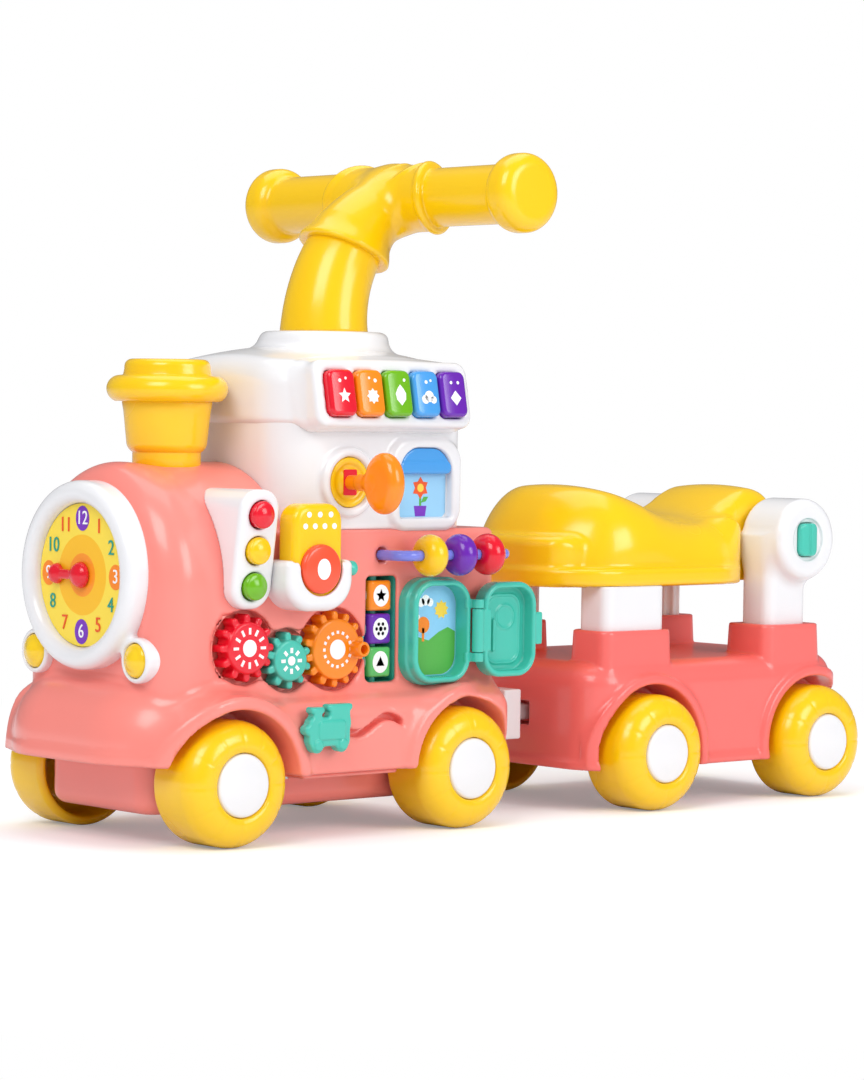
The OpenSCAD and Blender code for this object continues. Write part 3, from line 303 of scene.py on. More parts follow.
def moulded_plastic(name, hex_colour, roughness):
    """Glossy injection-moulded ABS: a hard clear gloss over a faint ripple left by the mould.
    The ripple is drawn 2.2 mm wide, coarser than real, so that it shows."""
    made, tree = new_material(name)
    cloud = grain(tree, 60, 2.0)
    surface(tree, {"Base Color": two_tone(tree, cloud, hex_colour, 0.035),
                   "Roughness": between(tree, cloud, roughness - 0.03, roughness + 0.05),
                   "Normal": relief(tree, grain(tree, 2.2, 1.0), 0.05),
                   "IOR": 1.45, "Coat Weight": 0.5, "Coat Roughness": 0.16})
    return made


salmon_plastic = moulded_plastic("salmon_polypropylene", "#FF8D82", 0.3)

boiler_r = 79
boiler_z = 124
boiler_front = -45
boiler_end = 58
boiler_edge = 22
waist_x, waist_width, waist_depth = -4, 10, 1.6
shell_foot = 20
base_top = 160
base_back = 240
skirt_half = 100
skirt_top = 51
skirt_low = 3
skirt_back = 246
nose_tip = -70
nose_half = 96
nose_top = 67
nose_low = 12
nose_reach = 80
nose_corner, nose_crown = 68, 42
nose_rim, nose_rim_rise = 1.2, 8
skirt_corner = 30
skirt_start = -20
leg_low = 9
fender_r = 57
fender_half = 102
fender_reach = 150
well_r = 48
well_in = 59.5
arch_lip = 1.6
axle_boss_r = 14
tray_from, tray_to, tray_top, tray_half = -40.5, 232.5, 48, 56.4
wall_thickness, opening_depth = 2.8, 40
gear_red_r, gear_teal_r, gear_orange_r = 19.5, 16.25, 22.75
gear_lobe = 4.7
gear_places = {c: joint_place(f"gear_{c}_spin") - front_axle for c in ("red", "teal", "orange")}
gear_radii = {"red": gear_red_r, "teal": gear_teal_r, "orange": gear_orange_r}
cube_axis = joint_place("cube_purple_spin") - front_axle
cube_slot_half = 13.1
cube_slot_z = 35
rod_low, rod_high = box_of("bead_rod")
rod_r = 3.5
rod_z = (rod_low.z + rod_high.z) / 2
rod_ends = rod_low.x + rod_r, rod_high.x - rod_r
rod_socket_depth = 9
slot_z = 33
slot_from, slot_turn, slot_to = 62.6, 84, 137
slot_half = 2.6
slot_wave = 5
slot_depth = 9


def gear_window(x, z, grow):
    """Outline of the three lobes that the gears turn in."""
    lobes = [np.hypot(x - at.x, z - at.z) - gear_radii[c] - gear_lobe - grow
             for c, at in gear_places.items()]
    return join(join(lobes[0], lobes[1], 6), lobes[2], 6)


def wavy_slot(x, z):
    """Outline of the slider's slot: straight, then one wave."""
    turn = 2 * math.pi * (np.clip(x, slot_turn, slot_to) - slot_turn) / (slot_to - slot_turn)
    height = slot_z - slot_wave * np.sin(turn)
    along = np.maximum(slot_from + slot_half - x, x - slot_to + slot_half)
    return np.hypot(np.maximum(along, 0), z - height) - slot_half


def boiler_arch(y, z):
    """Distance to the boiler's outline: straight sides under a half round."""
    return np.where(z > boiler_z, np.hypot(y, np.maximum(z - boiler_z, 0)), np.abs(y)) - boiler_r


def engine_shell(p):
    x, y, z = p
    side = np.abs(y)
    arch = boiler_arch(y, z) + waist_depth * np.exp(-((x - waist_x) / waist_width) ** 2)
    boiler = meet(arch, boiler_front - x, boiler_edge)
    boiler = meet(boiler, x - boiler_end, 3)
    boiler = np.maximum(boiler, shell_foot - z)
    # The base starts inside the boiler
    overlap = 15
    middle = (boiler_end + base_back) / 2
    base = plate(x - middle + overlap, y, (base_back - boiler_end) / 2 + overlap, boiler_r, 14)
    base = np.maximum(meet(base, z - base_top, 5), shell_foot - z)
    shell = join(boiler, base, 2)
    skirt_mid = (skirt_back + skirt_start) / 2
    skirt = plate(x - skirt_mid, y, (skirt_back - skirt_start) / 2, skirt_half, skirt_corner)
    skirt = meet(skirt, z - skirt_top, 13)
    shell = join(shell, skirt, 13)
    nose_plan = plate(x - nose_tip - nose_reach, y, nose_reach, nose_half, nose_corner)
    nose = meet(nose_plan, z - nose_top, nose_crown)
    nose = meet(nose, x + 12, 16)
    rim = np.maximum(z - nose_low - nose_rim_rise, x + 16)
    nose = join(nose, meet(nose_plan - nose_rim, rim, nose_rim), nose_rim)
    shell = join(shell, nose, 3)
    fore = plate(x - nose_tip - fender_reach, y, fender_reach, fender_half + 2, nose_corner)
    aft = plate(x - skirt_back + fender_reach, y, fender_reach, fender_half + 2, skirt_corner)
    fender_plan = np.maximum(fore, aft)
    for axle_x in (0, loco_wheelbase):
        away = np.hypot(x - axle_x, z)
        fender = meet(away - fender_r, side - fender_half, 7)
        shell = join(shell, np.maximum(fender, fender_plan), 9)
        lip_plan = np.maximum(side - fender_half - arch_lip, fender_plan - arch_lip)
        lip = meet(np.abs(away - well_r - 3.6) - 4.6, lip_plan, 2)
        shell = join(shell, np.maximum(lip, 80 - side), 1.6)
        well = np.maximum(away - well_r, well_in - side)
        shell = cut(shell, well, 2)
        shell = np.maximum(shell, axle_boss_r - away)
    shell = np.maximum(shell, np.minimum(nose_low - z, -x - 22))
    shell = np.maximum(shell, np.minimum(leg_low - z, x - loco_wheelbase))
    shell = np.maximum(shell, skirt_low - z)
    tray = np.maximum(np.maximum(span(x, tray_from, tray_to), side - tray_half), z - tray_top)
    shell = np.maximum(shell, -tray)
    left = y + boiler_r
    window = np.maximum(gear_window(x, z, 0), left - opening_depth)
    shell = cut(shell, window, 1.5)
    gear_room = np.maximum(gear_window(x, z, 3.4), span(left, wall_thickness, 14))
    shell = np.maximum(shell, -gear_room)
    u, w = x - cube_axis.x, z - cube_axis.z
    cubes = plate(u, w, cube_slot_half, cube_slot_z, 3)
    shell = cut(shell, np.maximum(cubes, left - opening_depth), 1.5)
    cube_room = plate(u, w, cube_slot_half + 2.4, cube_slot_z + 2.4, 1)
    shell = np.maximum(shell, -np.maximum(cube_room, span(left, wall_thickness, 30)))
    for end_x in rod_ends:
        socket = np.hypot(x - end_x, z - rod_z) - rod_r - 1.6
        shell = cut(shell, np.maximum(socket, left - rod_socket_depth), 0.6)
    slot = np.maximum(wavy_slot(x, z), y + skirt_half - slot_depth)
    return cut(shell, slot, 0.8)


fasten(moulded("loco_body_shell", engine_shell, (-78, -108, -4), (252, 108, 208), 2.1),
       salmon_plastic, "locomotive", "salmon", "loco_body")

chassis_low, chassis_high = box_of("loco_chassis")
chassis_half, chassis_top = 56, 18
flange_from, flange_to, flange_half, flange_top = 57.5, 137.5, 93.5, 2.9
axle_hole_r = 4.1


def chassis_tray(p):
    x, y, z = p
    mid = (chassis_low.x + chassis_high.x) / 2
    half = (chassis_high.x - chassis_low.x) / 2
    tray = plate(x - mid, y, half, chassis_half, 16)
    tray = meet(tray, span(z, chassis_low.z, chassis_top), 9)
    for axle_x in (0, loco_wheelbase):
        tray = np.maximum(tray, axle_hole_r - np.hypot(x - axle_x, z))
    flange = np.maximum(np.abs(y) - flange_half, span(z, 0, flange_top))
    return np.minimum(tray, np.maximum(span(x, flange_from, flange_to), flange))


fasten(moulded("loco_chassis_tray", chassis_tray, (-46, -100, -28), (238, 100, 24), 1.9),
       salmon_plastic, "locomotive", "salmon", "loco_chassis")

# Cab
# A white ABS box with soft front corners on the salmon base. A raised ring holds the ignition
# lock, and a raised frame with an arched top holds the picture window.
white_plastic = moulded_plastic("white_abs", "#EEEDEF", 0.24)
cab_front, cab_back, cab_half, cab_top = 58, 210, 76, 228
lock_x, lock_z = 106, 191
lock_hole = 16.7
lock_rim = 3.2
window_x, window_z = 172, 189
window_half, window_rise, window_arch = 23, 22, 3


def cab_plan(x, y, front, back, half, front_r, back_r):
    """Plan of cab and roof: soft corners in front, tighter ones behind."""
    fore = plate(x - front - 100, y, 100, half, front_r)
    aft = plate(x - back + 100, y, 100, half, back_r)
    return np.maximum(fore, aft)


def cab_wall(p):
    x, y, z = p
    wall = cab_plan(x, y, cab_front, cab_back, cab_half, 34, 14)
    wall = np.maximum(wall, span(z, base_top, cab_top + 4))
    out = y + cab_half
    from_lock = np.hypot(x - lock_x, z - lock_z)
    ring = np.hypot(from_lock - lock_hole - lock_rim, np.minimum(out + 1.2, 0)) - lock_rim
    ring = np.maximum(ring, out - 4)
    wall = join(wall, ring, 2)
    u, w = x - window_x, z - window_z
    frame_edge = plate(u, w, window_half + 8, window_rise + 8, 15)
    pad = meet(frame_edge, span(out, -4, 6), 2.6)
    wall = join(wall, pad, 4)
    # The opening is arched above and square below
    arch_top = window_rise + window_arch
    glass = plate(u, w, window_half, arch_top, 7)
    glass = np.maximum(glass, plate(u, w + 40, window_half, arch_top + 40, 17))
    glass = np.maximum(glass, window_z - window_rise - z)
    wall = cut(wall, np.maximum(glass, out - 3.2), 2)
    lock = np.maximum(from_lock - lock_hole, out - 6)
    return np.maximum(wall, -lock)


fasten(moulded("cab_shell_wall", cab_wall, (54, -84, 156), (214, 80, 234), 1.5),
       white_plastic, "locomotive", "white", "cab_shell")

# Roof
# A white blow-moulded block over the cab with very soft corners and a domed top. A leaning
# panel on its left side holds the piano keys, and a round collar carries the handle.
roof_front, roof_back, roof_half = 55, 214, 82
roof_side_top = 268
roof_rise = 14
collar_x, collar_r = 147, 44
collar_top = 291
panel_centre = (136, -87.5, 249.5)
panel_half = (66.75, 22.5)
panel_depth = 14
panel_lean = math.radians(11)
key_pitch = 24.1
key_half = (11.1, 15.3)
key_gap, key_corner, key_drop = 0.4, 5.2, 0.5
pocket_depth = 9.4


def on_panel(p):
    """Place on the leaning piano panel: along it, into it and up it."""
    y = p[1] - panel_centre[1]
    z = p[2] - panel_centre[2]
    into = y * math.cos(panel_lean) - z * math.sin(panel_lean)
    up = z * math.cos(panel_lean) + y * math.sin(panel_lean)
    return p[0] - panel_centre[0], into, up


def roof_block(p):
    x, y, z = p
    mid = (roof_front + roof_back) / 2
    plan = cab_plan(x, y, roof_front, roof_back, roof_half, 44, 20)
    fall = 0.75 * (y / roof_half) ** 2 + 0.75 * ((x - mid) / 80) ** 2
    crown = roof_side_top + roof_rise * (1 - fall)
    block = meet(plan, (z - crown) * 0.93, 13)
    block = meet(block, cab_top - z, 6)
    collar = meet(np.hypot(x - collar_x, y) - collar_r, z - collar_top, 6)
    collar = np.maximum(collar, 250 - z)
    block = join(block, collar, 8)
    along, into, up = on_panel(p)
    board = meet(plate(along, up, panel_half[0], panel_half[1], 9), span(into, 0, panel_depth + 8), 4)
    block = join(block, board, 7)
    for i in range(-2, 3):
        pocket = plate(along - i * key_pitch, up + key_drop, key_half[0] + key_gap,
                       key_half[1] + key_gap, key_corner + 0.2)
        block = cut(block, np.maximum(pocket, into - pocket_depth), 0.8)
    return block


fasten(moulded("cab_roof_block", roof_block, (48, -104, 222), (220, 90, 296), 1.6),
       white_plastic, "locomotive", "white", "cab_roof")

# Chimney
# Turned-looking yellow ABS in one piece: a plain tube, a bucket, a fat ring and a cap on top.
# It is pushed into the boiler's crown from above.
yellow_plastic = moulded_plastic("yellow_abs", "#FFCB00", 0.25)
chimney_x = (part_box("chimney")[0].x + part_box("chimney")[1].x) / 2 / mm - front_axle.x
chimney_top = 270


def arc(centre_r, centre_h, radius, start, end, steps=10):
    """Points of a profile's round stretch, angles in degrees from the radius direction."""
    turns = [math.radians(start + (end - start) * i / steps) for i in range(steps + 1)]
    return [(centre_r + radius * math.cos(a), centre_h + radius * math.sin(a)) for a in turns]


def turned(name, profile, place, axis="Z", around=96):
    """A profile of (radius, height) pairs turned about an axis; both ends lie on the axis."""
    frames = {"Z": ((1, 0, 0), (0, 1, 0), (0, 0, 1)), "Y": ((0, 0, 1), (1, 0, 0), (0, 1, 0)),
              "-Y": ((1, 0, 0), (0, 0, 1), (0, -1, 0)), "X": ((0, 1, 0), (0, 0, 1), (1, 0, 0)),
              "-X": ((0, 0, 1), (0, 1, 0), (-1, 0, 0))}
    u, v, w = (Vector(way) for way in frames[axis])
    points = []
    faces = []
    for k in range(around):
        a = 2 * math.pi * k / around
        away = u * math.cos(a) + v * math.sin(a)
        points += [(Vector(place) + away * r + w * h) * mm for r, h in profile]
    n = len(profile)
    for k in range(around):
        m = (k + 1) % around
        faces += [(k * n + i, m * n + i, m * n + i + 1, k * n + i + 1) for i in range(n - 1)]
    made = mesh_of(name, points, faces)
    tidy = bmesh.new()
    tidy.from_mesh(made.data)
    bmesh.ops.remove_doubles(tidy, verts=tidy.verts, dist=1e-6)
    bmesh.ops.dissolve_degenerate(tidy, edges=tidy.edges, dist=1e-7)
    bmesh.ops.recalc_face_normals(tidy, faces=tidy.faces)
    tidy.to_mesh(made.data)
    tidy.free()
    shade(made, True)
    return made


chimney_profile = [(0, 190), (22.5, 190), (22.5, 206)] + arc(23.3, 208.8, 0.8, 180, 90, 4) \
    + arc(18.5, 216, 8, -53, -8, 8) + [(28.6, 236), (29.6, 241.5)] + arc(30.2, 243, 1, 200, 90, 3) \
    + arc(31, 250.5, 8.8, -70, 86, 16) + arc(30, 260.6, 1.2, 250, 180, 3) + [(28.3, 263)] \
    + arc(23.2, 265, 5, 0, 84, 8) + [(18, chimney_top), (0, chimney_top)]
fasten(turned("chimney_stack", chimney_profile, front_axle + Vector((chimney_x, 0, 0))),
       yellow_plastic, "locomotive", "yellow", "chimney")

# Handle
# Two blow-moulded yellow pieces: a bent neck out of the roof collar, and a tee with the bar.
# The tee flares into a collar over the neck, and the bar ends in mushroom knobs.
neck_bend = 99.4
neck_sweep = math.radians(68.5)
tee_start = math.radians(33)
neck_foot_r, neck_end_r = 30, 23
neck_lap = 0.06
bar_x = collar_x + neck_bend * (1 - math.cos(neck_sweep))
bar_z = collar_top + neck_bend * math.sin(neck_sweep)
bar_r, bar_half = 20, 140
sleeve_r = 23
knob_r = 26.5
collar_lean = math.radians(25)


def along_neck(p):
    """Angle along the neck's bend and distance from its centre line."""
    x, y, z = p
    back = collar_x + neck_bend - x
    up = z - collar_top
    angle = np.arctan2(up, back)
    return angle, np.hypot(np.hypot(back, up) - neck_bend, y)


def neck_tube(p):
    angle, away = along_neck(p)
    share = np.clip(angle / neck_sweep, 0, 1)
    tube = away - neck_foot_r + (neck_foot_r - neck_end_r) * share ** 0.8
    tube = np.maximum(tube, (angle - tee_start - neck_lap) * neck_bend)
    return np.maximum(tube, collar_top - 0.5 - p[2])


def tee_and_bar(p):
    x, y, z = p
    angle, away = along_neck(p)
    side = np.abs(y)
    share = np.clip(angle / neck_sweep, 0, 1)
    mouth_x = collar_x + neck_bend * (1 - math.cos(tee_start))
    mouth_z = collar_top + neck_bend * math.sin(tee_start)
    past = (x - mouth_x) * math.sin(collar_lean) + (z - mouth_z) * math.cos(collar_lean)
    stem_r = neck_foot_r + 1.8 - (neck_foot_r - neck_end_r) * share ** 0.8
    stem_r = stem_r - 5 * np.clip(share * 2.5 - 1.5, 0, 1)
    flare = 4.5 * np.exp(-(past / 9) ** 2)
    stem = meet(away - stem_r - flare, -past, 2)
    stem = np.maximum(stem, (angle - neck_sweep) * neck_bend)
    out = np.hypot(x - bar_x, z - bar_z)
    toward_neck = (bar_x - x) * math.sin(neck_sweep) + (bar_z - z) * math.cos(neck_sweep)
    reach = 42 + 9 * np.clip(toward_neck / sleeve_r, -1, 1)
    # The sleeve's ends lean, so that their distance is a little less than along the bar
    beyond = (side - reach) * 0.93
    sleeve = meet(out - sleeve_r, beyond, 2)
    rim = np.hypot(out - sleeve_r + 0.6, beyond + 2.6) - 2.8
    tee = join(join(stem, sleeve, 11), rim, 2.5)
    # Two raised lines run aslant around the sleeve
    for offset in (-8, 8):
        line = y * 0.75 + (z - bar_z) * 0.66 - offset
        tee = join(tee, np.hypot(out - sleeve_r + 0.4, line) - 1.8, 1.5)
    bar = np.maximum(out - bar_r, side - bar_half + 8)
    knob = meet(out - knob_r, span(side, bar_half - 25, bar_half), 10)
    return join(join(tee, bar, 1.2), knob, 2)


fasten(moulded("handle_neck_tube", neck_tube, (110, -36, 286), (200, 36, 362), 1.5),
       yellow_plastic, "locomotive", "yellow", "handle_neck")
fasten(moulded("handle_tee_and_bar", tee_and_bar, (120, -146, 318), (244, 146, 416), 1.5),
       yellow_plastic, "locomotive", "yellow", "handle_bar")

# Clock
# A white ring with two ears stands on the boiler's flat front and holds the printed dial. The
# red hand turns on a pin through the dial. The ears hold the domed headlight lenses.
red_plastic = moulded_plastic("red_abs", "#E8102A", 0.2)
clock_at = joint_place("clock_turn") - front_axle
clock_z = clock_at.z
dial_depth = 7
ring_in, ring_out = 46.5, 61
ring_tube = (ring_out - ring_in) / 2
ring_depth = 15
ear_y, ear_z, ear_r = 55, 78, 14.6
ear_depth = 6
lens_r = 11


def clock_ring(p):
    x, y, z = p
    ahead_of = boiler_front - x
    out = np.hypot(y, z - clock_z)
    ring = np.hypot(out - ring_in - ring_tube,
                    np.maximum(ahead_of - ring_depth + ring_tube, 0)) - ring_tube
    ear = np.hypot(np.abs(y) - ear_y, z - ear_z)
    ears = meet(ear - ear_r, ahead_of - ear_depth, 2.4)
    whole = join(ring, ears, 5)
    whole = np.maximum(whole, -ahead_of - 12)
    whole = np.maximum(whole, ring_in - out)
    socket = np.maximum(ear - lens_r - 0.4, 2 - ahead_of)
    return cut(whole, socket, 1.2)


fasten(moulded("clock_ring", clock_ring, (-64, -78, 56), (-30, 78, 196), 1.1),
       white_plastic, "locomotive", "white", "clock_bezel")


def merged(name, pieces):
    """Several meshes made into one piece."""
    whole = bmesh.new()
    for piece in pieces:
        whole.from_mesh(piece.data)
        bpy.data.objects.remove(piece)
    made = mesh_of(name, [], [])
    whole.to_mesh(made.data)
    whole.free()
    shade(made, True)
    return made


def domed(radius, foot, top, edge, dome=0.0):
    """Profile of a round button: straight side, rounded edge and a slightly domed face."""
    shares = [1 - i / 6 for i in range(1, 7)]
    face = [(radius * s - edge * s, top - dome * s ** 2) for s in shares]
    return [(0, foot), (radius, foot)] + arc(radius - edge, top - dome - edge, edge, 0, 90, 6) + face


lens_plastic = moulded_plastic("yellow_lens_acrylic", "#FFD21E", 0.12)
lenses = [turned(f"lens_{i}", domed(lens_r, 2, 10, 3, 3),
                 front_axle + Vector((boiler_front, s * ear_y, ear_z)), "-X", 64)
          for i, s in enumerate((-1, 1))]
fasten(merged("headlight_lenses", lenses), lens_plastic, "locomotive", "yellow", "headlights")


def printed_card(name, centre, bands):
    """Glossy printed card: rings of colour around a centre, over a faint paper tooth.
    The tooth is drawn 3 mm wide, coarser than real, so that it shows."""
    made, tree = new_material(name)
    where = add_node(tree, "ShaderNodeTexCoord").outputs["Object"]
    away = add_node(tree, "ShaderNodeVectorMath", {0: where, 1: centre * mm}, operation="DISTANCE")
    colour = linear(bands[0][1])
    for radius, hex_colour in bands[1:]:
        inside = add_node(tree, "ShaderNodeMath", {0: away.outputs["Value"], 1: radius * mm},
                          operation="LESS_THAN")
        layer = add_node(tree, "ShaderNodeMix", {"Factor": inside.outputs[0], "A": colour,
                         "B": linear(hex_colour)}, data_type="RGBA")
        colour = layer.outputs["Result"]
    tooth = grain(tree, 3, 3.0)
    surface(tree, {"Base Color": colour, "Roughness": between(tree, tooth, 0.3, 0.38),
                   "Normal": relief(tree, tooth, 0.04)})
    return made


dial_r = 46.1
dial_bands = [(99, "#FFE04A"), (26, "#FFC21E"), (14, "#FF9A1E")]
dial_centre = front_axle + Vector((boiler_front - dial_depth, 0, clock_z))
dial_profile = [(0, -dial_depth), (dial_r, -dial_depth), (dial_r, 0), (26, 0), (14, 0), (0, 0)]
dial = turned("clock_dial_card", dial_profile, dial_centre, "-X", 96)
shade(dial, False)
fasten(dial, printed_card("printed_dial_card", dial_centre, dial_bands), "locomotive", "yellow",
       "clock_dial")


def disc(u, v, radius, squash=1.0, around=40):
    """Outline of a circle, or of an ellipse squashed across."""
    turns = [2 * math.pi * i / around for i in range(around)]
    return [(u + radius * math.cos(a), v + radius * squash * math.sin(a)) for a in turns]


def decal(name, outlines, origin, across, upward, lift=0.25):
    """Printed patches a hair proud of a flat face; outlines are millimetres across and up."""
    across, upward = Vector(across), Vector(upward)
    out = across.cross(upward)
    points = []
    faces = []
    for outline in outlines:
        first = len(points)
        n = len(outline)
        for height in (-0.15, lift):
            points += [(Vector(origin) + across * u + upward * v + out * height) * mm
                       for u, v in outline]
        faces.append([first + n + i for i in range(n)])
        faces.append([first + n - 1 - i for i in range(n)])
        for i in range(n):
            k = (i + 1) % n
            faces.append((first + i, first + k, first + n + k, first + n + i))
    return mesh_of(name, points, faces, smooth=False)


def print_ink(name, hex_colour):
    """Screen-printed ink: satin, with the faint mottle of a single pass.
    The mottle is drawn 1.5 mm wide, coarser than real, so that it shows."""
    made, tree = new_material(name)
    mottle = grain(tree, 1.5, 2.0)
    surface(tree, {"Base Color": two_tone(tree, mottle, hex_colour, 0.04),
                   "Roughness": between(tree, mottle, 0.32, 0.45)})
    return made


ink_colours = {"white": "#FFFFFF", "purple": "#7A2FBE", "orange": "#FF8A1A", "teal": "#1FA08E",
               "green": "#58B44A", "sky": "#8FD0F5", "yellow": "#FFD84A"}
ink = {tint: print_ink(f"{tint}_ink", hex_colour) for tint, hex_colour in ink_colours.items()}
ink["red"] = print_ink("orange_red_ink", "#F2591E")
left, upward = Vector((0, -1, 0)), Vector((0, 0, 1))
ovals = {12: "purple", 6: "purple", 3: "orange", 9: "orange"}
number_ink = {n: "red" for n in (1, 5, 7, 11)} | {n: "teal" for n in (2, 4, 8, 10)} \
    | {n: "white" for n in ovals}
number_r = 36.5
oval_pieces = {}
for hour, tint in ovals.items():
    turn = math.radians(90 - 30 * hour)
    shape = disc(number_r * math.cos(turn), number_r * math.sin(turn), 7.2, 1.12)
    oval_pieces.setdefault(tint, []).append(shape)
for tint, shapes in oval_pieces.items():
    fasten(decal(f"dial_ovals_{tint}", shapes, dial_centre, left, upward), ink[tint],
           "locomotive", "yellow")


def baked(name, holder):
    """The finished mesh of a text or of a node group as a plain object; the holder goes."""
    bpy.context.view_layer.update()
    finished = holder.evaluated_get(bpy.context.evaluated_depsgraph_get())
    mesh = bpy.data.meshes.new_from_object(finished)
    bpy.data.objects.remove(holder)
    return placed(name, mesh)


def number_mesh(name, words, height):
    """A numeral as thin solid letters, in millimetres about its own middle."""
    curve = bpy.data.curves.new(name, "FONT")
    curve.body = words
    curve.size = height
    curve.extrude = 0.2
    curve.align_x = "CENTER"
    curve.align_y = "CENTER"
    return baked(name, placed(name, curve))


numbers = {}
dial_frame = Matrix((left, upward, left.cross(upward))).transposed().to_4x4()
for hour in range(1, 13):
    turn = math.radians(90 - 30 * hour)
    at = dial_centre + (left * math.cos(turn) + upward * math.sin(turn)) * number_r - Vector((0.4, 0, 0))
    numeral = number_mesh(f"numeral_{hour}", str(hour), 12.5 if hour in ovals else 13.5)
    numeral.data.transform(Matrix.Scale(mm, 4) @ Matrix.Translation(at) @ dial_frame)
    numbers.setdefault(number_ink[hour], []).append(numeral)
for tint, pieces in numbers.items():
    row = merged(f"dial_numerals_{tint}", pieces)
    shade(row, False)
    fasten(row, ink[tint], "locomotive", "yellow")

hand_tip = 26
hand_gap = 0.8


def dumbbell(p):
    x, y, z = p
    front = boiler_front - dial_depth - hand_gap - x
    up = z - clock_z
    bar = np.hypot(y - np.clip(y, 0, hand_tip), up) - 3.2
    flat = meet(bar, span(front, 0, 4), 1.6)
    hub = np.sqrt(y ** 2 + up ** 2 + (front * 1.25) ** 2) - 8.6
    tip = np.sqrt((y - hand_tip) ** 2 + up ** 2 + (front * 1.15) ** 2) - 6.8
    return np.maximum(join(flat, np.minimum(hub, tip), 2), -front)


fasten(moulded("clock_hand_bar", dumbbell, (-61, -11, 118), (-50, 35, 142), 0.55),
       red_plastic, "clock_hand", "red", "clock_hand")

# Signal panel
# A white round-ended panel leans out of the boiler's left side. Three domed buttons in red,
# yellow and green are sprung into its holes.
green_plastic = moulded_plastic("green_abs", "#6FB711", 0.2)
light_x, light_mid, light_pitch = 18, 148, 23
light_slope = 3.4 / 23
signal_half, signal_rise = 16, 38.5
signal_z = 148.6
light_r = 8.8


def light_face(z):
    """Distance of the signal panel's face from the middle of the train."""
    return boiler_r + 10 + (z - 125) * light_slope


def signal_panel(p):
    x, y, z = p
    outline = plate(x - light_x, z - signal_z, signal_half, signal_rise, 14)
    panel = meet(outline, (-y - light_face(z)) * 0.99, 4)
    panel = np.maximum(panel, -boiler_arch(y, z) - 1)
    panel = np.maximum(panel, y + 20)
    for i in (-1, 0, 1):
        at = light_mid + i * light_pitch
        hole = np.hypot(x - light_x, z - at) - light_r - 0.5
        panel = cut(panel, np.maximum(hole, y + light_face(at) - 8), 1)
    return panel


fasten(moulded("signal_panel", signal_panel, (-2, -106, 106), (38, -18, 192), 1.0),
       white_plastic, "locomotive", "white", "light_panel")
light_buttons = (("red", 1, red_plastic), ("yellow", 0, yellow_plastic), ("green", -1, green_plastic))
for name, i, material in light_buttons:
    at = light_mid + i * light_pitch
    button = turned(f"light_button_{name}", domed(light_r, -5, 6.5, 2, 2.2),
                    front_axle + Vector((light_x, -light_face(at), at)), "-Y", 64)
    fasten(button, material, f"light_{name}", name, f"light_{name}")

# Toy telephone
# A yellow handset stands in a white pouch on the body's left side. An orange-red ring with a
# white middle sits on its front. The pouch has a small teal knob beside it.
coral_plastic = moulded_plastic("orange_red_abs", "#FF5533", 0.22)
teal_plastic = moulded_plastic("teal_abs", "#45C3AF", 0.24)
phone_low, phone_high = box_of("phone")
phone_mid = (phone_low + phone_high) / 2
phone_half = (phone_high.x - phone_low.x) / 2
phone_gap = 0.4
pouch_wall = 3.4
pouch_half = phone_half + 7
pouch_foot = phone_low.z - pouch_wall
pouch_top = pouch_foot + 33
pouch_face = phone_low.y - pouch_wall
phone_ring_r = 16
phone_ring_z = phone_low.z + 24


def pouch(p):
    x, y, z = p
    across = x - phone_mid.x
    outline = plate(across, z - pouch_foot - 40, pouch_half, 40, 21)
    outline = meet(outline, z - pouch_top, 4)
    shell = meet(outline, pouch_face - y, 6)
    shell = np.maximum(shell, y + boiler_r - 1)
    inside = plate(across, z - phone_low.z - 40, phone_half + phone_gap, 40 + phone_gap, 12 + phone_gap)
    inside = np.maximum(inside, span(y, phone_low.y - phone_gap, phone_high.y + phone_gap))
    shell = cut(shell, inside, 1)
    notch = np.hypot(across, np.minimum(z - phone_ring_z, 0)) - phone_ring_r - 1.4
    return cut(shell, np.maximum(notch, y - phone_low.y - 2), 1.5)


fasten(moulded("phone_pouch", pouch, (28, -110, 104), (96, -74, 146), 0.9),
       white_plastic, "locomotive", "white", "phone_holder")
pouch_knob = turned("phone_pouch_knob", domed(5, -5, 9, 2.4, 0.8),
                    front_axle + Vector((phone_mid.x + pouch_half, -boiler_r - 15, pouch_top - 6)), "X", 40)
fasten(pouch_knob, teal_plastic, "locomotive", "teal")


def handset(p):
    x, y, z = p
    outline = plate(x - phone_mid.x, z - phone_mid.z, phone_half, (phone_high.z - phone_low.z) / 2, 12)
    return meet(outline, span(y, phone_low.y, phone_high.y), 5)


fasten(moulded("phone_handset", handset, (38, -106, 108), (86, -78, 182), 0.9),
       yellow_plastic, "phone", "yellow", "phone")
face_x, face_z = Vector((1, 0, 0)), Vector((0, 0, 1))
ring_at = front_axle + Vector((phone_mid.x, phone_low.y, phone_ring_z))
fasten(turned("phone_ring", domed(phone_ring_r, 0, 5, 2.6, 0.8), ring_at, "-Y", 72),
       coral_plastic, "phone", "coral", "phone_ring")
ring_print = decal("phone_ring_centre", [disc(0, 0, 5.4, 1.25)], ring_at + Vector((0, -4.85, 0)),
                   face_x, face_z)
fasten(ring_print, ink["white"], "phone", "coral")
dot_rows = [(-9, 26), (0, 26), (9, 26), (-12, 18.5), (-4, 18.5), (4, 18.5), (12, 18.5)]
dots = decal("phone_dots", [disc(u, v, 1.9, around=24) for u, v in dot_rows],
             front_axle + Vector((phone_mid.x, phone_low.y, phone_mid.z)), face_x, face_z)
fasten(dots, ink["white"], "phone", "yellow")

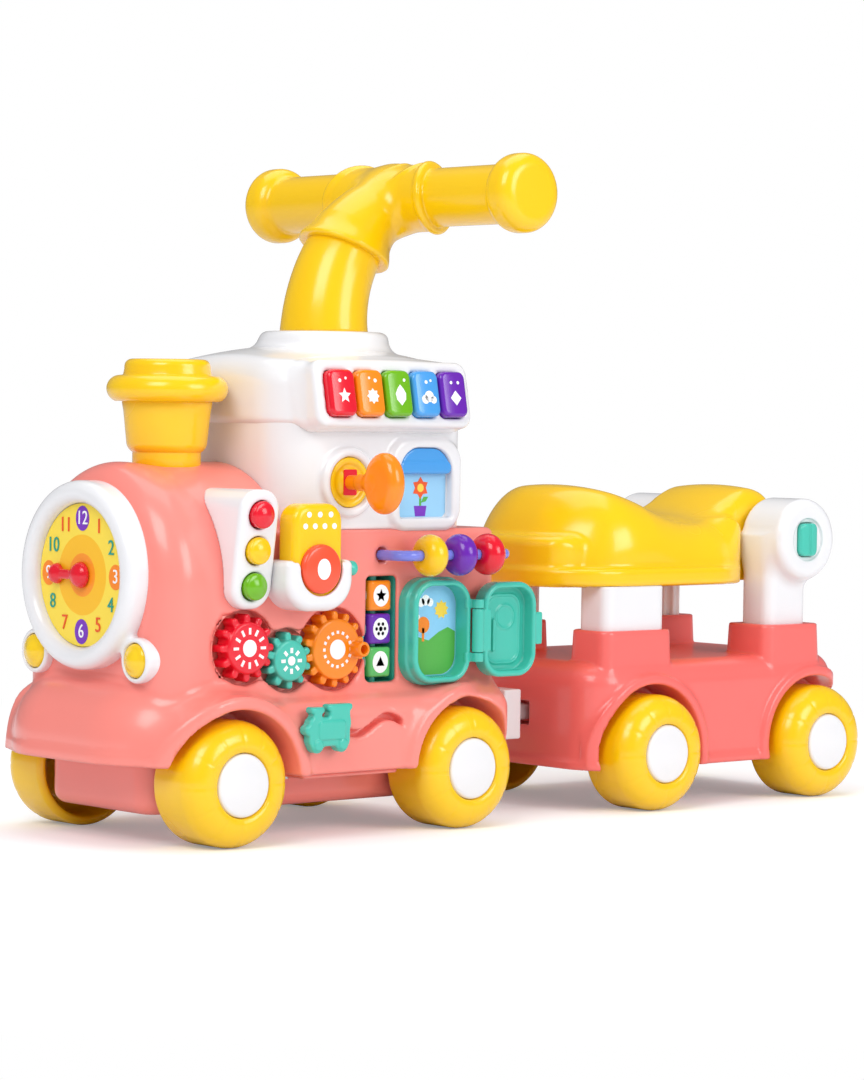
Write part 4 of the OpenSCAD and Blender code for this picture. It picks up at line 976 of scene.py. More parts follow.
# Gears
# Three meshing ABS gears turn on posts in a salmon tray behind the body's opening. Each has a
# white print of its own, and the orange one a peg to crank it by.
orange_plastic = moulded_plastic("orange_abs", "#FF8C0A", 0.22)
gear_module = 3.25
gear_face, gear_back = -84, -70
gear_teeth = {"red": 12, "teal": 10, "orange": 14}
red_turn, orange_turn = math.radians(165), math.radians(9)
teal_step = 2 * math.pi / gear_teeth["teal"]
teal_lag = (orange_turn - red_turn) % teal_step
gear_phase = {"teal": red_turn, "red": red_turn + math.pi + math.pi / gear_teeth["red"],
              "orange": orange_turn + math.pi + math.pi / gear_teeth["orange"]
              + teal_lag * gear_teeth["teal"] / gear_teeth["orange"]}
crank_r, crank_out = 5, 9
post_hole_r, post_hole_end = 4.1, -81
peg_half = 2.5


def ring_of_marks():
    """Geometry nodes: a ring of thin printed bars around a centre, standing along the radius."""
    group = bpy.data.node_groups.new("ring_of_marks", "GeometryNodeTree")
    group.interface.new_socket("Geometry", in_out="OUTPUT", socket_type="NodeSocketGeometry")
    for label in ("Count", "Radius", "Length", "Width", "Thickness"):
        kind = "NodeSocketInt" if label == "Count" else "NodeSocketFloat"
        group.interface.new_socket(label, in_out="INPUT", socket_type=kind)
    given = add_node(group, "NodeGroupInput").outputs
    circle = add_node(group, "GeometryNodeMeshCircle", {"Vertices": given["Count"],
                      "Radius": given["Radius"]})
    size = add_node(group, "ShaderNodeCombineXYZ", {"X": given["Length"], "Y": given["Width"],
                    "Z": given["Thickness"]})
    bar = add_node(group, "GeometryNodeMeshCube", {"Size": size.outputs[0]})
    here = add_node(group, "GeometryNodeInputPosition")
    aim = add_node(group, "FunctionNodeAlignRotationToVector", {"Vector": here.outputs[0]}, axis="X")
    ring = add_node(group, "GeometryNodeInstanceOnPoints", {"Points": circle.outputs["Mesh"],
                    "Instance": bar.outputs["Mesh"], "Rotation": aim.outputs["Rotation"]})
    real = add_node(group, "GeometryNodeRealizeInstances", {"Geometry": ring.outputs["Instances"]})
    add_node(group, "NodeGroupOutput", {"Geometry": real.outputs["Geometry"]})
    return group


marks_tree = ring_of_marks()


def marks(name, count, radius, length, width, centre):
    """A ring of printed bars on a face that looks to the train's left; sizes in millimetres."""
    holder = mesh_of(name + "_seed", [], [])
    grow = holder.modifiers.new("marks", "NODES")
    values = {"Count": count, "Radius": radius * mm, "Length": length * mm, "Width": width * mm,
              "Thickness": 0.5 * mm}
    grow.node_group = marks_tree
    for item in marks_tree.interface.items_tree:
        if item.in_out == "INPUT":
            grow[item.identifier] = values[item.name]
    made = baked(name, holder)
    made.data.transform(Matrix.Translation(Vector(centre) * mm) @ Matrix.Rotation(math.pi / 2, 4, "X"))
    return made


def gear_solid(name):
    """The field of one gear: a raised face disc and a ring of round pegs behind its edge."""
    at = gear_places[name]
    teeth = gear_teeth[name]
    root = gear_module * (teeth / 2 - 1.05)
    tip = gear_module * (teeth / 2 + 0.72)
    step = 2 * math.pi / teeth

    def field(p):
        x, y, z = p
        u, w = x - at.x, z - at.z
        reach = np.hypot(u, w)
        turn = np.mod(np.arctan2(w, u) - gear_phase[name] + step / 2, step) - step / 2
        along, off = reach * np.cos(turn), reach * np.sin(turn)
        pegs = np.hypot(np.maximum(along - tip + peg_half, 0), off) - peg_half
        pegs = meet(np.maximum(pegs, root - 3 - reach), span(y, gear_face + 2, gear_back), 1.4)
        disc_part = meet(reach - root - 0.6, span(y, gear_face, gear_back), 1.6)
        whole = join(disc_part, pegs, 0.8)
        if name == "orange":
            peg_x = at.x + gear_radii[name] - 7
            out = np.hypot(x - peg_x, w)
            peg = meet(out - crank_r, span(y, gear_face - crank_out, gear_face + 3), 1.5)
            whole = join(whole, peg, 1)
            whole = cut(whole, np.maximum(out - crank_r + 2, y - gear_face + 1), 0.6)
        return np.maximum(whole, -np.maximum(reach - post_hole_r, post_hole_end - y))
    return field


gear_plastics = {"red": red_plastic, "teal": teal_plastic, "orange": orange_plastic}
# Rays on each gear: their count, inset, length and width, and the hub's radius
gear_prints = {"red": (12, 1.5, 4.2, 1.8, 5.5), "teal": (8, 2.5, 3.4, 2.2, 3),
               "orange": (16, 4.5, 2, 2, 6.5)}
for name, at in gear_places.items():
    reach = gear_radii[name] + 4
    low_y = gear_face - (crank_out if name == "orange" else 0) - 2
    gear = moulded(f"gear_{name}_wheel", gear_solid(name), (at.x - reach, low_y, at.z - reach),
                   (at.x + reach, gear_back + 2, at.z + reach), 0.62)
    fasten(gear, gear_plastics[name], f"gear_{name}", name, f"gear_{name}")
    on_face = front_axle + Vector((at.x, gear_face, at.z))
    rim = gear_radii[name] - 7
    count, inset, length, width, spot_r = gear_prints[name]
    rays = marks(f"gear_{name}_rays", count, rim - inset, length, width, on_face)
    fasten(rays, ink["white"], f"gear_{name}", name)
    hub_print = decal(f"gear_{name}_hub", [disc(0, 0, spot_r)], on_face, face_x, face_z)
    fasten(hub_print, ink["white"], f"gear_{name}", name)
paint(frame["nodes"]["gear_tray"], salmon_plastic)

# Cubes
# Three rounded ABS cubes spin on a rod in a teal tray behind a tall slot. Each side carries a
# white disc with a plain sign printed on it.
purple_plastic = moulded_plastic("purple_abs", "#6A1FB0", 0.22)
cube_green_plastic = moulded_plastic("leaf_green_abs", "#58C060", 0.22)
cube_half = 10
cube_reach = Vector((12, 12, 12))
rod_hole_r = 3.1
cube_plastics = {"orange": orange_plastic, "purple": purple_plastic, "green": cube_green_plastic}


def star(u, v, outer, inner, points, turn=0.5 * math.pi):
    """Outline of a star, or of a flower where the two radii are close."""
    turns = [turn + math.pi * i / points for i in range(2 * points)]
    reaches = [outer, inner] * points
    return [(u + r * math.cos(a), v + r * math.sin(a)) for r, a in zip(reaches, turns)]


cube_signs = {"orange": [star(0, 0, 4.6, 2.1, 5)], "purple": [disc(0, 0, 1.6)] + [
    disc(3.6 * math.cos(a), 3.6 * math.sin(a), 1.2, around=20) for a in np.arange(6) * math.pi / 3],
    "green": [[(-3.6, -2.6), (3.6, -2.6), (0, 3.8)]]}
for name, material in cube_plastics.items():
    at = joint_place(f"cube_{name}_spin") - front_axle

    def toy_cube(p):
        x, y, z = p
        side = plate(x - at.x, y - at.y, cube_half, cube_half, 3.5)
        solid = meet(side, np.abs(z - at.z) - cube_half, 2)
        return np.maximum(solid, rod_hole_r - np.hypot(x - at.x, y - at.y))

    fasten(moulded(f"cube_{name}_block", toy_cube, at - cube_reach, at + cube_reach, 0.6),
           material, f"cube_{name}", name, f"cube_{name}")
    for quarter in range(4):
        out = Matrix.Rotation(quarter * math.pi / 2, 3, "Z") @ Vector((0, -1, 0))
        along = face_z.cross(out) * -1
        spot = front_axle + at + out * cube_half
        back = decal(f"cube_{name}_disc_{quarter}", [disc(0, 0, 6.6, 1.1)], spot, along, face_z, 0.2)
        fasten(back, ink["white"], f"cube_{name}", name)
        sign = decal(f"cube_{name}_sign_{quarter}", cube_signs[name], spot, along, face_z, 0.35)
        fasten(sign, ink[name], f"cube_{name}", name)
paint(frame["nodes"]["cube_tray"], teal_plastic)

# Hatch
# A teal pocket with a printed floor. Its door is folded back half a turn on a pin and shows its
# hollow side, with a rim, a latch tab and moulded stiffening lines.
hatch_axis = joint_place("hatch_swing") - front_axle
hatch_x = 176
hatch_half, hatch_rise = 25.5, 34.5
hatch_face = -boiler_r - 15
door_y = box_of("hatch_door")[0].y
door_x0 = hatch_axis.x + 4.4
door_half = (24, 32)
lug_at, lug_half, knuckle_r = 18, 3, 4
door_mid = door_x0 + door_half[0]


def hatch_pocket(p):
    x, y, z = p
    u, w = x - hatch_x, z - hatch_axis.z
    box = meet(plate(u, w, hatch_half, hatch_rise, 17), span(y, hatch_face, -boiler_r), 2.5)
    step = meet(plate(u, w, hatch_half + 1.5, hatch_rise + 1.5, 18),
                span(y, hatch_face + 7, -boiler_r + 1), 1.5)
    box = join(box, step, 1)
    hole = np.maximum(plate(u, w, hatch_half - 4, hatch_rise - 4, 13.5), y + boiler_r + 3)
    box = cut(box, hole, 1.4)
    hinge = np.hypot(x - hatch_axis.x, y - hatch_axis.y)
    for s in (-1, 1):
        at_lug = np.abs(w - s * lug_at) - lug_half
        lug = np.maximum(hinge - knuckle_r, at_lug)
        arm = np.maximum(span(x, hatch_axis.x - 8, hatch_axis.x),
                         np.maximum(span(y, hatch_face, hatch_face + 3), at_lug))
        box = np.minimum(box, np.minimum(lug, arm))
    knuckle_room = np.maximum(hinge - knuckle_r - 0.4, np.abs(w) - 15)
    box = np.maximum(box, -knuckle_room)
    pin = np.maximum(hinge - 1.95, np.abs(w) - 20)
    return np.minimum(box, pin)


pocket = moulded("hatch_pocket_box", hatch_pocket, (146, -104, hatch_axis.z - 40),
                 (212, -76, hatch_axis.z + 40), 0.8)
fasten(pocket, teal_plastic, "locomotive", "teal", "hatch_frame")


def hatch_door(p):
    x, y, z = p
    u, w = x - door_mid, z - hatch_axis.z
    above = y - door_y
    leaf = meet(plate(u, w, door_half[0], door_half[1], 16), span(above, 1.9, 13.9), 2.2)
    hollow = np.maximum(plate(u, w, door_half[0] - 4, door_half[1] - 4, 12), above - 10.9)
    leaf = cut(leaf, hollow, 1.6)
    inner = np.abs(plate(u, w, door_half[0] - 9, door_half[1] - 9, 9)) - 0.8
    hoop = np.abs(np.hypot(u - 2, w - 8) - 8) - 0.6
    catch = plate(u + 9, w + 4, 1.4, 11, 1.2)
    for line, start in ((inner, 9.9), (hoop, 10.2), (catch, 8.6)):
        leaf = join(leaf, np.maximum(line, span(above, start, 12)), 0.8)
    tab = meet(plate(u - door_half[0] - 2, w, 4, 11, 1.2), span(above, 2.9, 8.9), 1)
    leaf = np.minimum(leaf, tab)
    hinge = np.hypot(x - hatch_axis.x, y - hatch_axis.y)
    knuckle = np.maximum(hinge - knuckle_r, np.abs(w) - 14.5)
    web = np.maximum(np.maximum(span(x, hatch_axis.x, door_x0 + 6), np.abs(w) - 14),
                     span(y, hatch_axis.y - 2.1, hatch_axis.y + 4))
    leaf = np.minimum(leaf, np.minimum(knuckle, web))
    return np.maximum(leaf, 2.1 - hinge)


door = moulded("hatch_door_leaf", hatch_door, (198, -103, hatch_axis.z - 36),
               (264, -82, hatch_axis.z + 36), 0.8)
fasten(door, teal_plastic, "hatch_door", "teal", "hatch_door")


def rounded_outline(half_u, half_v, corner, steps=8):
    """Outline of a rectangle with round corners."""
    points = []
    for i, (su, sv) in enumerate(((1, 1), (-1, 1), (-1, -1), (1, -1))):
        for k in range(steps + 1):
            a = math.pi / 2 * (i + k / steps)
            points.append((su * (half_u - corner) + corner * math.cos(a),
                           sv * (half_v - corner) + corner * math.sin(a)))
    return points


floor_at = front_axle + Vector((hatch_x, -boiler_r - 3, hatch_axis.z))
hill_half, hill_foot, hill_corner = 20.5, -29.5, 13
hill_turns = np.linspace(0, math.pi / 2, 7)
hill = [(-hill_half, -10), (-12, -4), (-3, -6.5), (6, -1), (14, 2), (hill_half, -1), (hill_half, -17)] \
    + [(hill_half - hill_corner * (1 - math.cos(a)), hill_foot + hill_corner * (1 - math.sin(a)))
       for a in hill_turns] \
    + [(-hill_half + hill_corner * (1 - math.sin(a)), hill_foot + hill_corner * (1 - math.cos(a)))
       for a in hill_turns]
small_tree = [disc(-8, 4, 5.5), [(-9, -7), (-7, -7), (-7, 2), (-9, 2)]]
clouds = [disc(-10, 19, 3), disc(-6, 20.5, 3.6), disc(-2, 19, 2.8), disc(-13, 9, 2.2)]
hatch_prints = (("sky", "sky", [rounded_outline(21, 30, 13)], 0.2), ("hill", "green", [hill], 0.35),
                ("sun", "yellow", [star(8, 14, 6.4, 4.6, 9)], 0.35), ("tree", "orange", small_tree, 0.5),
                ("clouds", "white", clouds, 0.4))
for name, tint, shapes, lift in hatch_prints:
    fasten(decal(f"hatch_floor_{name}", shapes, floor_at, face_x, face_z, lift), ink[tint],
           "locomotive", "teal")

# Beads
# A lavender plastic rod is bent into a bow with both ends in the body's side. Three fat beads
# slide along it.
lavender_plastic = moulded_plastic("lavender_abs", "#7C86E8", 0.25)
rod_bend = 10
rod_y = rod_low.y + rod_r
rod_mid = (rod_low.x + rod_high.x) / 2
rod_half = (rod_high.x - rod_low.x) / 2 - rod_r


def bow(p):
    x, y, z = p
    loop = plate(x - rod_mid, y - rod_y - 40, rod_half, 40, rod_bend)
    return np.maximum(np.hypot(loop, z - rod_z) - rod_r, y + boiler_r - 2)


fasten(moulded("bead_rod_bow", bow, (128, -106, 137), (236, -74, 149), 0.7),
       lavender_plastic, "locomotive", "lavender", "bead_rod")
for name, material in (("yellow", yellow_plastic), ("purple", purple_plastic), ("red", red_plastic)):
    low, high = (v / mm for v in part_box(f"bead_{name}"))
    bead_r, bead_half = (high.z - low.z) / 2, (high.x - low.x) / 2
    centre = (low + high) / 2
    profile = [(rod_r + 0.1, -bead_half + 1.5)] + arc(bead_r - bead_half, 0, bead_half, -106, 106, 22) + [
        (rod_r + 0.1, bead_half - 1.5), (rod_r + 0.1, -bead_half + 1.5)]
    fasten(turned(f"bead_{name}_ring", profile, centre, "X", 72), material, f"bead_{name}", name,
           f"bead_{name}")

# Slider
# A small flat teal engine on a stem that runs in the wavy slot of the skirt. It has a funnel,
# a cab and two wheels in relief.
slider_low, slider_high = box_of("slider")
slider_x = 66


def small_engine(p):
    x, y, z = p
    u, w = x - slider_x, z - slot_z
    # Boiler, cab, cab roof, funnel and its lip: centre, half sizes, corner and fillet
    shape = plate(u, w + 1.5, 17, 9.5, 4)
    for at_u, at_w, half_u, half_w, corner, fillet in (
            (8.5, 8, 8.5, 7.6, 2.6, 2), (8.5, 14, 10.4, 2.2, 2, 1),
            (-10, 8, 3.6, 6, 2, 1.5), (-10, 12.6, 5.6, 2.1, 1.8, 1)):
        shape = join(shape, plate(u - at_u, w - at_w, half_u, half_w, corner), fillet)
    from_wheel = np.minimum(np.hypot(u + 10, w + 10), np.hypot(u - 10.5, w + 10))
    shape = join(shape, from_wheel - 5.2, 1.5)
    shape = join(shape, np.hypot(u + 17, w) - 3.4, 1.5)
    front = slider_low.y
    engine = meet(shape, span(y, front + 1.2, front + 9), 1.8)
    engine = join(engine, meet(from_wheel - 3.6, span(y, front, front + 5), 1), 0.8)
    panel = plate(u - 1, w + 0.5, 11, 6, 2.5)
    engine = join(engine, meet(panel, span(y, front + 0.2, front + 5), 0.8), 0.8)
    stem = np.maximum(np.hypot(u, w) - 2.2, span(y, front + 4, slider_high.y))
    washer = np.maximum(np.hypot(u, w) - 5, span(y, slider_high.y - 2.6, slider_high.y))
    return np.minimum(engine, np.minimum(stem, washer))


slider = moulded("slider_engine", small_engine, (42, slider_low.y - 2, 14),
                 (92, slider_high.y + 2, 54), 0.6)
fasten(slider, teal_plastic, "slider", "teal", "slider")

# Piano keys
# Five rounded ABS keys stand in pockets of the leaning panel and are sprung. Each carries a
# small white printed sign.
blue_plastic = moulded_plastic("blue_abs", "#4AA0E8", 0.2)
key_out, key_in = 6, 6
key_plastics = {"red": red_plastic, "orange": orange_plastic, "green": green_plastic,
                "blue": blue_plastic, "purple": purple_plastic}
panel_out = Vector((0, -math.cos(panel_lean), math.sin(panel_lean)))
panel_up = Vector((0, math.sin(panel_lean), math.cos(panel_lean)))
leaf = [(0, -9), (3.8, -5), (4.4, -1), (2.4, 2.4), (0, 5), (-2.4, 2.4), (-4.4, -1), (-3.8, -5)]
diamond = [(-4.6, -3.4), (0, -8.4), (4.6, -3.4), (0, 1.6)]
cloud = [disc(-3, -4.6, 3), disc(0.6, -2.6, 3.8), disc(4, -4.8, 2.6)]
key_signs = {"red": [star(0, -3, 5.2, 2.4, 5), disc(-3, 7, 1.2), disc(2, 8.6, 0.9)],
             "orange": [star(0, -3, 5.2, 3.7, 8), disc(3, 7.4, 1.3), disc(-2, 9, 0.9)],
             "green": [leaf, disc(4, 8, 1.1)],
             "blue": cloud + [disc(-1, 7, 1.2), disc(3, 8, 0.9)],
             "purple": [diamond, disc(-3, 7, 1.1), disc(3, 7, 1.1)]}
for step, (name, material) in zip(range(-2, 3), key_plastics.items()):

    def key_block(p):
        along, into, up = on_panel(p)
        across = along - step * key_pitch
        block = plate(across, up + key_drop, key_half[0], key_half[1], key_corner)
        crown = -key_out + 0.9 * (across / key_half[0]) ** 2
        return meet(block, np.maximum(crown - into, into - key_in), 2.6)

    middle = panel_centre[0] + step * key_pitch
    key = moulded(f"key_{name}_cap", key_block, (middle - 14, -104, 230), (middle + 14, -74, 270),
                  0.65)
    fasten(key, material, f"key_{name}", name, f"key_{name}")
    on_axis = front_axle + Vector((middle, panel_centre[1], panel_centre[2]))
    spot = on_axis + panel_out * (key_out - 0.1)
    fasten(decal(f"key_{name}_sign", key_signs[name], spot, face_x, panel_up, 0.2), ink["white"],
           f"key_{name}", name)

# Ignition
# A yellow lock plate with a raised ring and a red slot is pressed into the cab's ring. A fat
# oval orange key turns in it.
lock_profile = [(0, -6), (16.5, -6), (16.5, 0)] + arc(15.3, 0.4, 1.2, 0, 90, 4) \
    + [(12.6, 1.6), (12, 0.4), (8.6, 0.4), (8, 1.2), (0, 1.2)]
lock_at = front_axle + Vector((lock_x, -cab_half - 1, lock_z))
fasten(turned("lock_plate", lock_profile, lock_at, "-Y", 72), yellow_plastic, "locomotive", "yellow",
       "lock_disc")
key_axis = joint_place("ignition_turn") - front_axle
knob_y = -cab_half - 33
knob_deep, knob_tall, knob_half = 15.8, 20, 7


def ignition_key(p):
    x, y, z = p
    u, w = x - key_axis.x, z - key_axis.z
    oval = (np.hypot((y - knob_y + 4.2) * knob_tall / knob_deep, w) - knob_tall) * 0.88
    head = meet(oval, np.abs(u) - knob_half, 6.5)
    collar = meet(np.hypot(u, w) - 5.6, span(y, knob_y, -cab_half - 12), 1)
    shaft = np.maximum(np.hypot(u, w) - 4.9, span(y, knob_y, -cab_half + 6))
    return join(join(head, collar, 4), shaft, 1)


fasten(moulded("ignition_key", ignition_key, (96, -132, 168), (116, -66, 214), 0.8),
       orange_plastic, "key_knob", "orange", "key_knob")
slot_patch = decal("lock_slot", [rounded_outline(5.4, 8.5, 1.2)], lock_at + Vector((0, -1.2, 0)),
                   face_x, face_z, 0.9)
fasten(slot_patch, red_plastic, "key_knob", "red")

# Picture window
# A printed card lies behind the cab's window, and a blue blind slides over it in the frame's
# groove. The blind has an arched top and a thicker pull along its lower edge.
blind_low, blind_high = box_of("window_blind")
blind_half = window_half - 0.4
pull_z = blind_low.z + 8


def blind_solid(p):
    x, y, z = p
    u = x - window_x
    arch = plate(u, z - blind_high.z + 37, blind_half, 37 + window_arch, 16.6)
    arch = np.maximum(arch, pull_z - z)
    pull = plate(u, z - pull_z, blind_half, 4, 3.6)
    curtain = meet(np.minimum(arch, pull), span(y, blind_low.y + 0.8, blind_high.y), 1.4)
    grip = meet(pull, span(y, blind_low.y, blind_high.y), 1.4)
    return join(curtain, grip, 1)


fasten(moulded("window_blind_slat", blind_solid, (146, -82, 188), (198, -70, 218), 0.7),
       blue_plastic, "window_blind", "blue", "window_blind")
card_plastic = moulded_plastic("sky_blue_card", "#9CD3F5", 0.3)
paint(frame["nodes"]["window_card"], card_plastic)
card_at = front_axle + Vector((window_x, -cab_half + 3, window_z - 4))
card_prints = (("pot", "purple", [[(-4.4, -17), (4.4, -17), (5.6, -10), (-5.6, -10)]], 0.1),
               ("stem", "green", [[(-0.9, -10), (0.9, -10), (0.9, 0), (-0.9, 0)],
                                  [(0.5, -8), (5, -7), (7, -4), (3, -4)]], 0.1),
               ("petals", "red", [star(0, 2, 7.4, 4.8, 6)], 0.18),
               ("heart", "yellow", [disc(0, 2, 2.8)], 0.26))
for name, tint, shapes, lift in card_prints:
    fasten(decal(f"window_print_{name}", shapes, card_at, face_x, face_z, lift), ink[tint],
           "locomotive", "sky")

# Coupling
# A white moulded drawbar is screwed to the locomotive's back. Its head is a broad upright block,
# and a tongue with an eye turns on the trailer's pin.
bar_low, bar_high = box_of("drawbar")
hitch = joint_place("hitch_turn") - front_axle
eye_r, eye_half, eye_hole_r = 11, 5.5, 5.1


def drawbar_solid(p):
    x, y, z = p
    head = hitch.x - 26
    foot = meet(plate(y, z - 24, 22, 18, 3), span(x, bar_low.x, bar_low.x + 4), 1)
    beam = np.maximum(plate(y, z - 25, 13, 9, 2), span(x, bar_low.x, head))
    block = meet(plate(y, z - 26.5, 33, 17.5, 1.5), span(x, head - 16, head), 1.2)
    thick = np.abs(z - hitch.z) - eye_half
    from_pin = np.hypot(x - hitch.x, y)
    tongue = meet(np.maximum(np.abs(y) - 9, span(x, head - 1, hitch.x)), thick, 1)
    eye = meet(from_pin - eye_r, thick, 1)
    bar = join(join(foot, beam, 1.5), join(block, join(tongue, eye, 2), 1), 1)
    return np.maximum(bar, eye_hole_r - from_pin)


drawbar = moulded("drawbar_casting", drawbar_solid, (bar_low.x - 3, -37, 2), (bar_high.x + 3, 37, 48), 0.9)
fasten(drawbar, white_plastic, "locomotive", "white", "drawbar")

# Wheels
# Eight wide yellow tyres with soft shoulders, blow-moulded with faint radial creases, on steel
# axles with white snap-on hub caps.
steel, steel_tree = new_material("bright_steel")
surface(steel_tree, {"Base Color": linear("#C8CACC"), "Metallic": 1.0,
                     "Roughness": between(steel_tree, grain(steel_tree, 2, 2.0), 0.25, 0.4)})
wheel_r, tyre_round = 41, 15
tyre_in, tyre_face, hub_seat, hub_face = 61, 105, 101, 107
hub_r = 20.5
axle_r, axle_half = 4, 100.6
axle_profile = [(0, -axle_half), (axle_r, -axle_half), (axle_r, axle_half), (0, axle_half)]
creases = 12
crease_depth, crease_width = 0.32, 0.06
tyre_profile = [(axle_hole_r, tyre_in), (11, tyre_in), (11, tyre_in + 30), (33, tyre_in + 30)] \
    + [(35, tyre_in + 26), (35, tyre_in + 1.5), (36, tyre_in + 0.4)] \
    + arc(wheel_r - 5, tyre_in + 5, 5, -80, 0, 6) \
    + arc(wheel_r - tyre_round, tyre_face - tyre_round, tyre_round, 0, 90, 14) \
    + [(hub_r + 1.6, tyre_face), (hub_r + 0.6, tyre_face - 1), (hub_r + 0.4, hub_seat)] \
    + [(axle_hole_r, hub_seat), (axle_hole_r, tyre_in)]
for name in ("loco_front", "loco_rear", "trailer_front", "trailer_rear"):
    axle_at = joint_place(f"{name}_roll")
    tyres = []
    caps = []
    for axis in ("-Y", "Y"):
        tyre = turned(f"{name}_tyre_{axis}", tyre_profile, axle_at, axis, 180)
        for vertex in tyre.data.vertices:
            out = vertex.co / mm - axle_at
            reach = math.hypot(out.x, out.z)
            turn = math.atan2(out.z, out.x) * creases / (2 * math.pi)
            sink = crease_depth * math.exp(-((turn - round(turn)) / crease_width) ** 2)
            if reach > hub_r + 3 and abs(out.y) > tyre_in + 24:
                vertex.co.y -= math.copysign(sink * mm, out.y)
                vertex.co.x -= out.x / reach * sink * 0.5 * mm
                vertex.co.z -= out.z / reach * sink * 0.5 * mm
        tyres.append(tyre)
        caps.append(turned(f"{name}_cap_{axis}", domed(hub_r, hub_seat, hub_face, 3, 1.4), axle_at, axis,
                           72))
    wheelset = f"{name}_wheelset"
    fasten(merged(f"{name}_tyres", tyres), yellow_plastic, wheelset, "yellow", f"{name}_wheels")
    fasten(merged(f"{name}_hub_caps", caps), white_plastic, wheelset, "white", f"{name}_axle")
    fasten(turned(f"{name}_axle_rod", axle_profile, axle_at, "Y", 32), steel, wheelset, "steel",
           f"{name}_axle")

# Trailer body
# A deeper salmon blow-moulded base with soft edges, wheel arches with a lip and a stepped lower
# rim. Four crisp sockets stand on its deck and hold the seat's pillars.
trailer_axle = joint_place("trailer_front_roll")
trailer_wheelbase = joint_place("trailer_rear_roll").x - trailer_axle.x
deep_salmon_plastic = moulded_plastic("deep_salmon_polypropylene", "#F66F69", 0.32)
trailer_front, trailer_back, trailer_half = -57, 200, 88
deck_z, trailer_low = 64, -11
trailer_lip = 3.4
pin_x, pin_r = trailer_front + 8, 5
mouth_low, mouth_high = 17, 34
pillar_x, post_x, socket_y = -8, 148, 64
pillar_half, post_half = (30, 15), (21, 15)
socket_top = deck_z + 22


def trailer_shell(p):
    x, y, z = p
    side = np.abs(y)
    mid = (trailer_front + trailer_back) / 2
    plan = plate(x - mid, y, (trailer_back - trailer_front) / 2, trailer_half, 27)
    shell = meet(plan, z - deck_z, 17)
    rim = meet(plan - 1.8, z - trailer_low - 6, 1.5)
    shell = join(shell, rim, 2)
    for axle_x in (0, trailer_wheelbase):
        away = np.hypot(x - axle_x, z)
        lip = meet(np.abs(away - well_r - 3) - 4, side - trailer_half - trailer_lip, 2.2)
        lip = np.maximum(lip, trailer_half - 14 - side)
        lip = np.maximum(lip, np.maximum(plan - trailer_lip, trailer_low - z))
        shell = join(shell, lip, 3)
    taper = 4 + np.clip((socket_top - z) / 22, 0, 1.6) * 0.8
    across = side - socket_y
    front_socket = plate(x - pillar_x, across, pillar_half[0] + taper, pillar_half[1] + taper, 9)
    back_socket = plate(x - post_x, across, post_half[0] + taper + 4, post_half[1] + taper + 3, 9)
    sockets = np.maximum(np.minimum(front_socket, back_socket), deck_z - 20 - z)
    shell = join(shell, meet(sockets, z - socket_top, 1.4), 1.8)
    for axle_x in (0, trailer_wheelbase):
        away = np.hypot(x - axle_x, z)
        shell = cut(shell, np.maximum(away - well_r, well_in - side), 1.5)
    shell = np.maximum(shell, trailer_low - z)
    hollow = np.maximum(span(x, trailer_front + 16, trailer_back - 16),
                        np.maximum(side - tray_half, z - deck_z + 10))
    hanger_x = np.minimum(np.abs(x), np.abs(x - trailer_wheelbase)) - 14
    hanger = np.maximum(hanger_x, np.abs(side - 53.4) - 5)
    ears = np.maximum(np.maximum(span(x, trailer_front, trailer_front + 24), side - 24),
                      np.minimum(span(z, 8, mouth_low), span(z, mouth_high, 43)))
    pin = np.maximum(np.hypot(x - pin_x, y) - pin_r, span(z, mouth_low - 1, mouth_high + 1))
    shell = np.maximum(shell, -np.maximum(hollow, -np.minimum(np.minimum(hanger, ears), pin)))
    foot = meet(np.maximum(hanger, z - 20), -12 - z, 3)
    shell = np.minimum(shell, foot)
    axles = np.minimum(np.hypot(x, z), np.hypot(x - trailer_wheelbase, z)) - axle_hole_r
    shell = np.maximum(shell, -axles)
    mouth = np.maximum(np.maximum(span(x, trailer_front - 4, trailer_front + 20), side - 22),
                       span(z, mouth_low, mouth_high))
    shell = np.maximum(shell, -np.maximum(mouth, -pin))
    holes = np.minimum(plate(x - pillar_x, across, pillar_half[0] + 0.2, pillar_half[1] + 0.2, 7),
                       plate(x - post_x, across, post_half[0] + 0.2, post_half[1] + 0.2, 7))
    return np.maximum(shell, -np.maximum(holes, deck_z - z))


fasten(moulded("trailer_body_shell", trailer_shell, (-64, -96, -16), (208, 96, 92), 1.8, trailer_axle),
       deep_salmon_plastic, "trailer", "deep_salmon", "trailer_body")

# Seat pillars and posts
# White moulded pillars stand in the sockets. The rear posts end in round caps that carry the
# seat's hinge, and their inner sides have moulded ribs.
seat_z = 117
cap_x, cap_z, cap_r = 156, 148, 30
cap_in, cap_out = 48.5, 91
stub_r = 6


def front_pillar(p):
    x, y, z = p
    stem = plate(x - pillar_x, np.abs(y) - socket_y, pillar_half[0], pillar_half[1], 8)
    return meet(stem, span(z, deck_z, seat_z), 0.8)


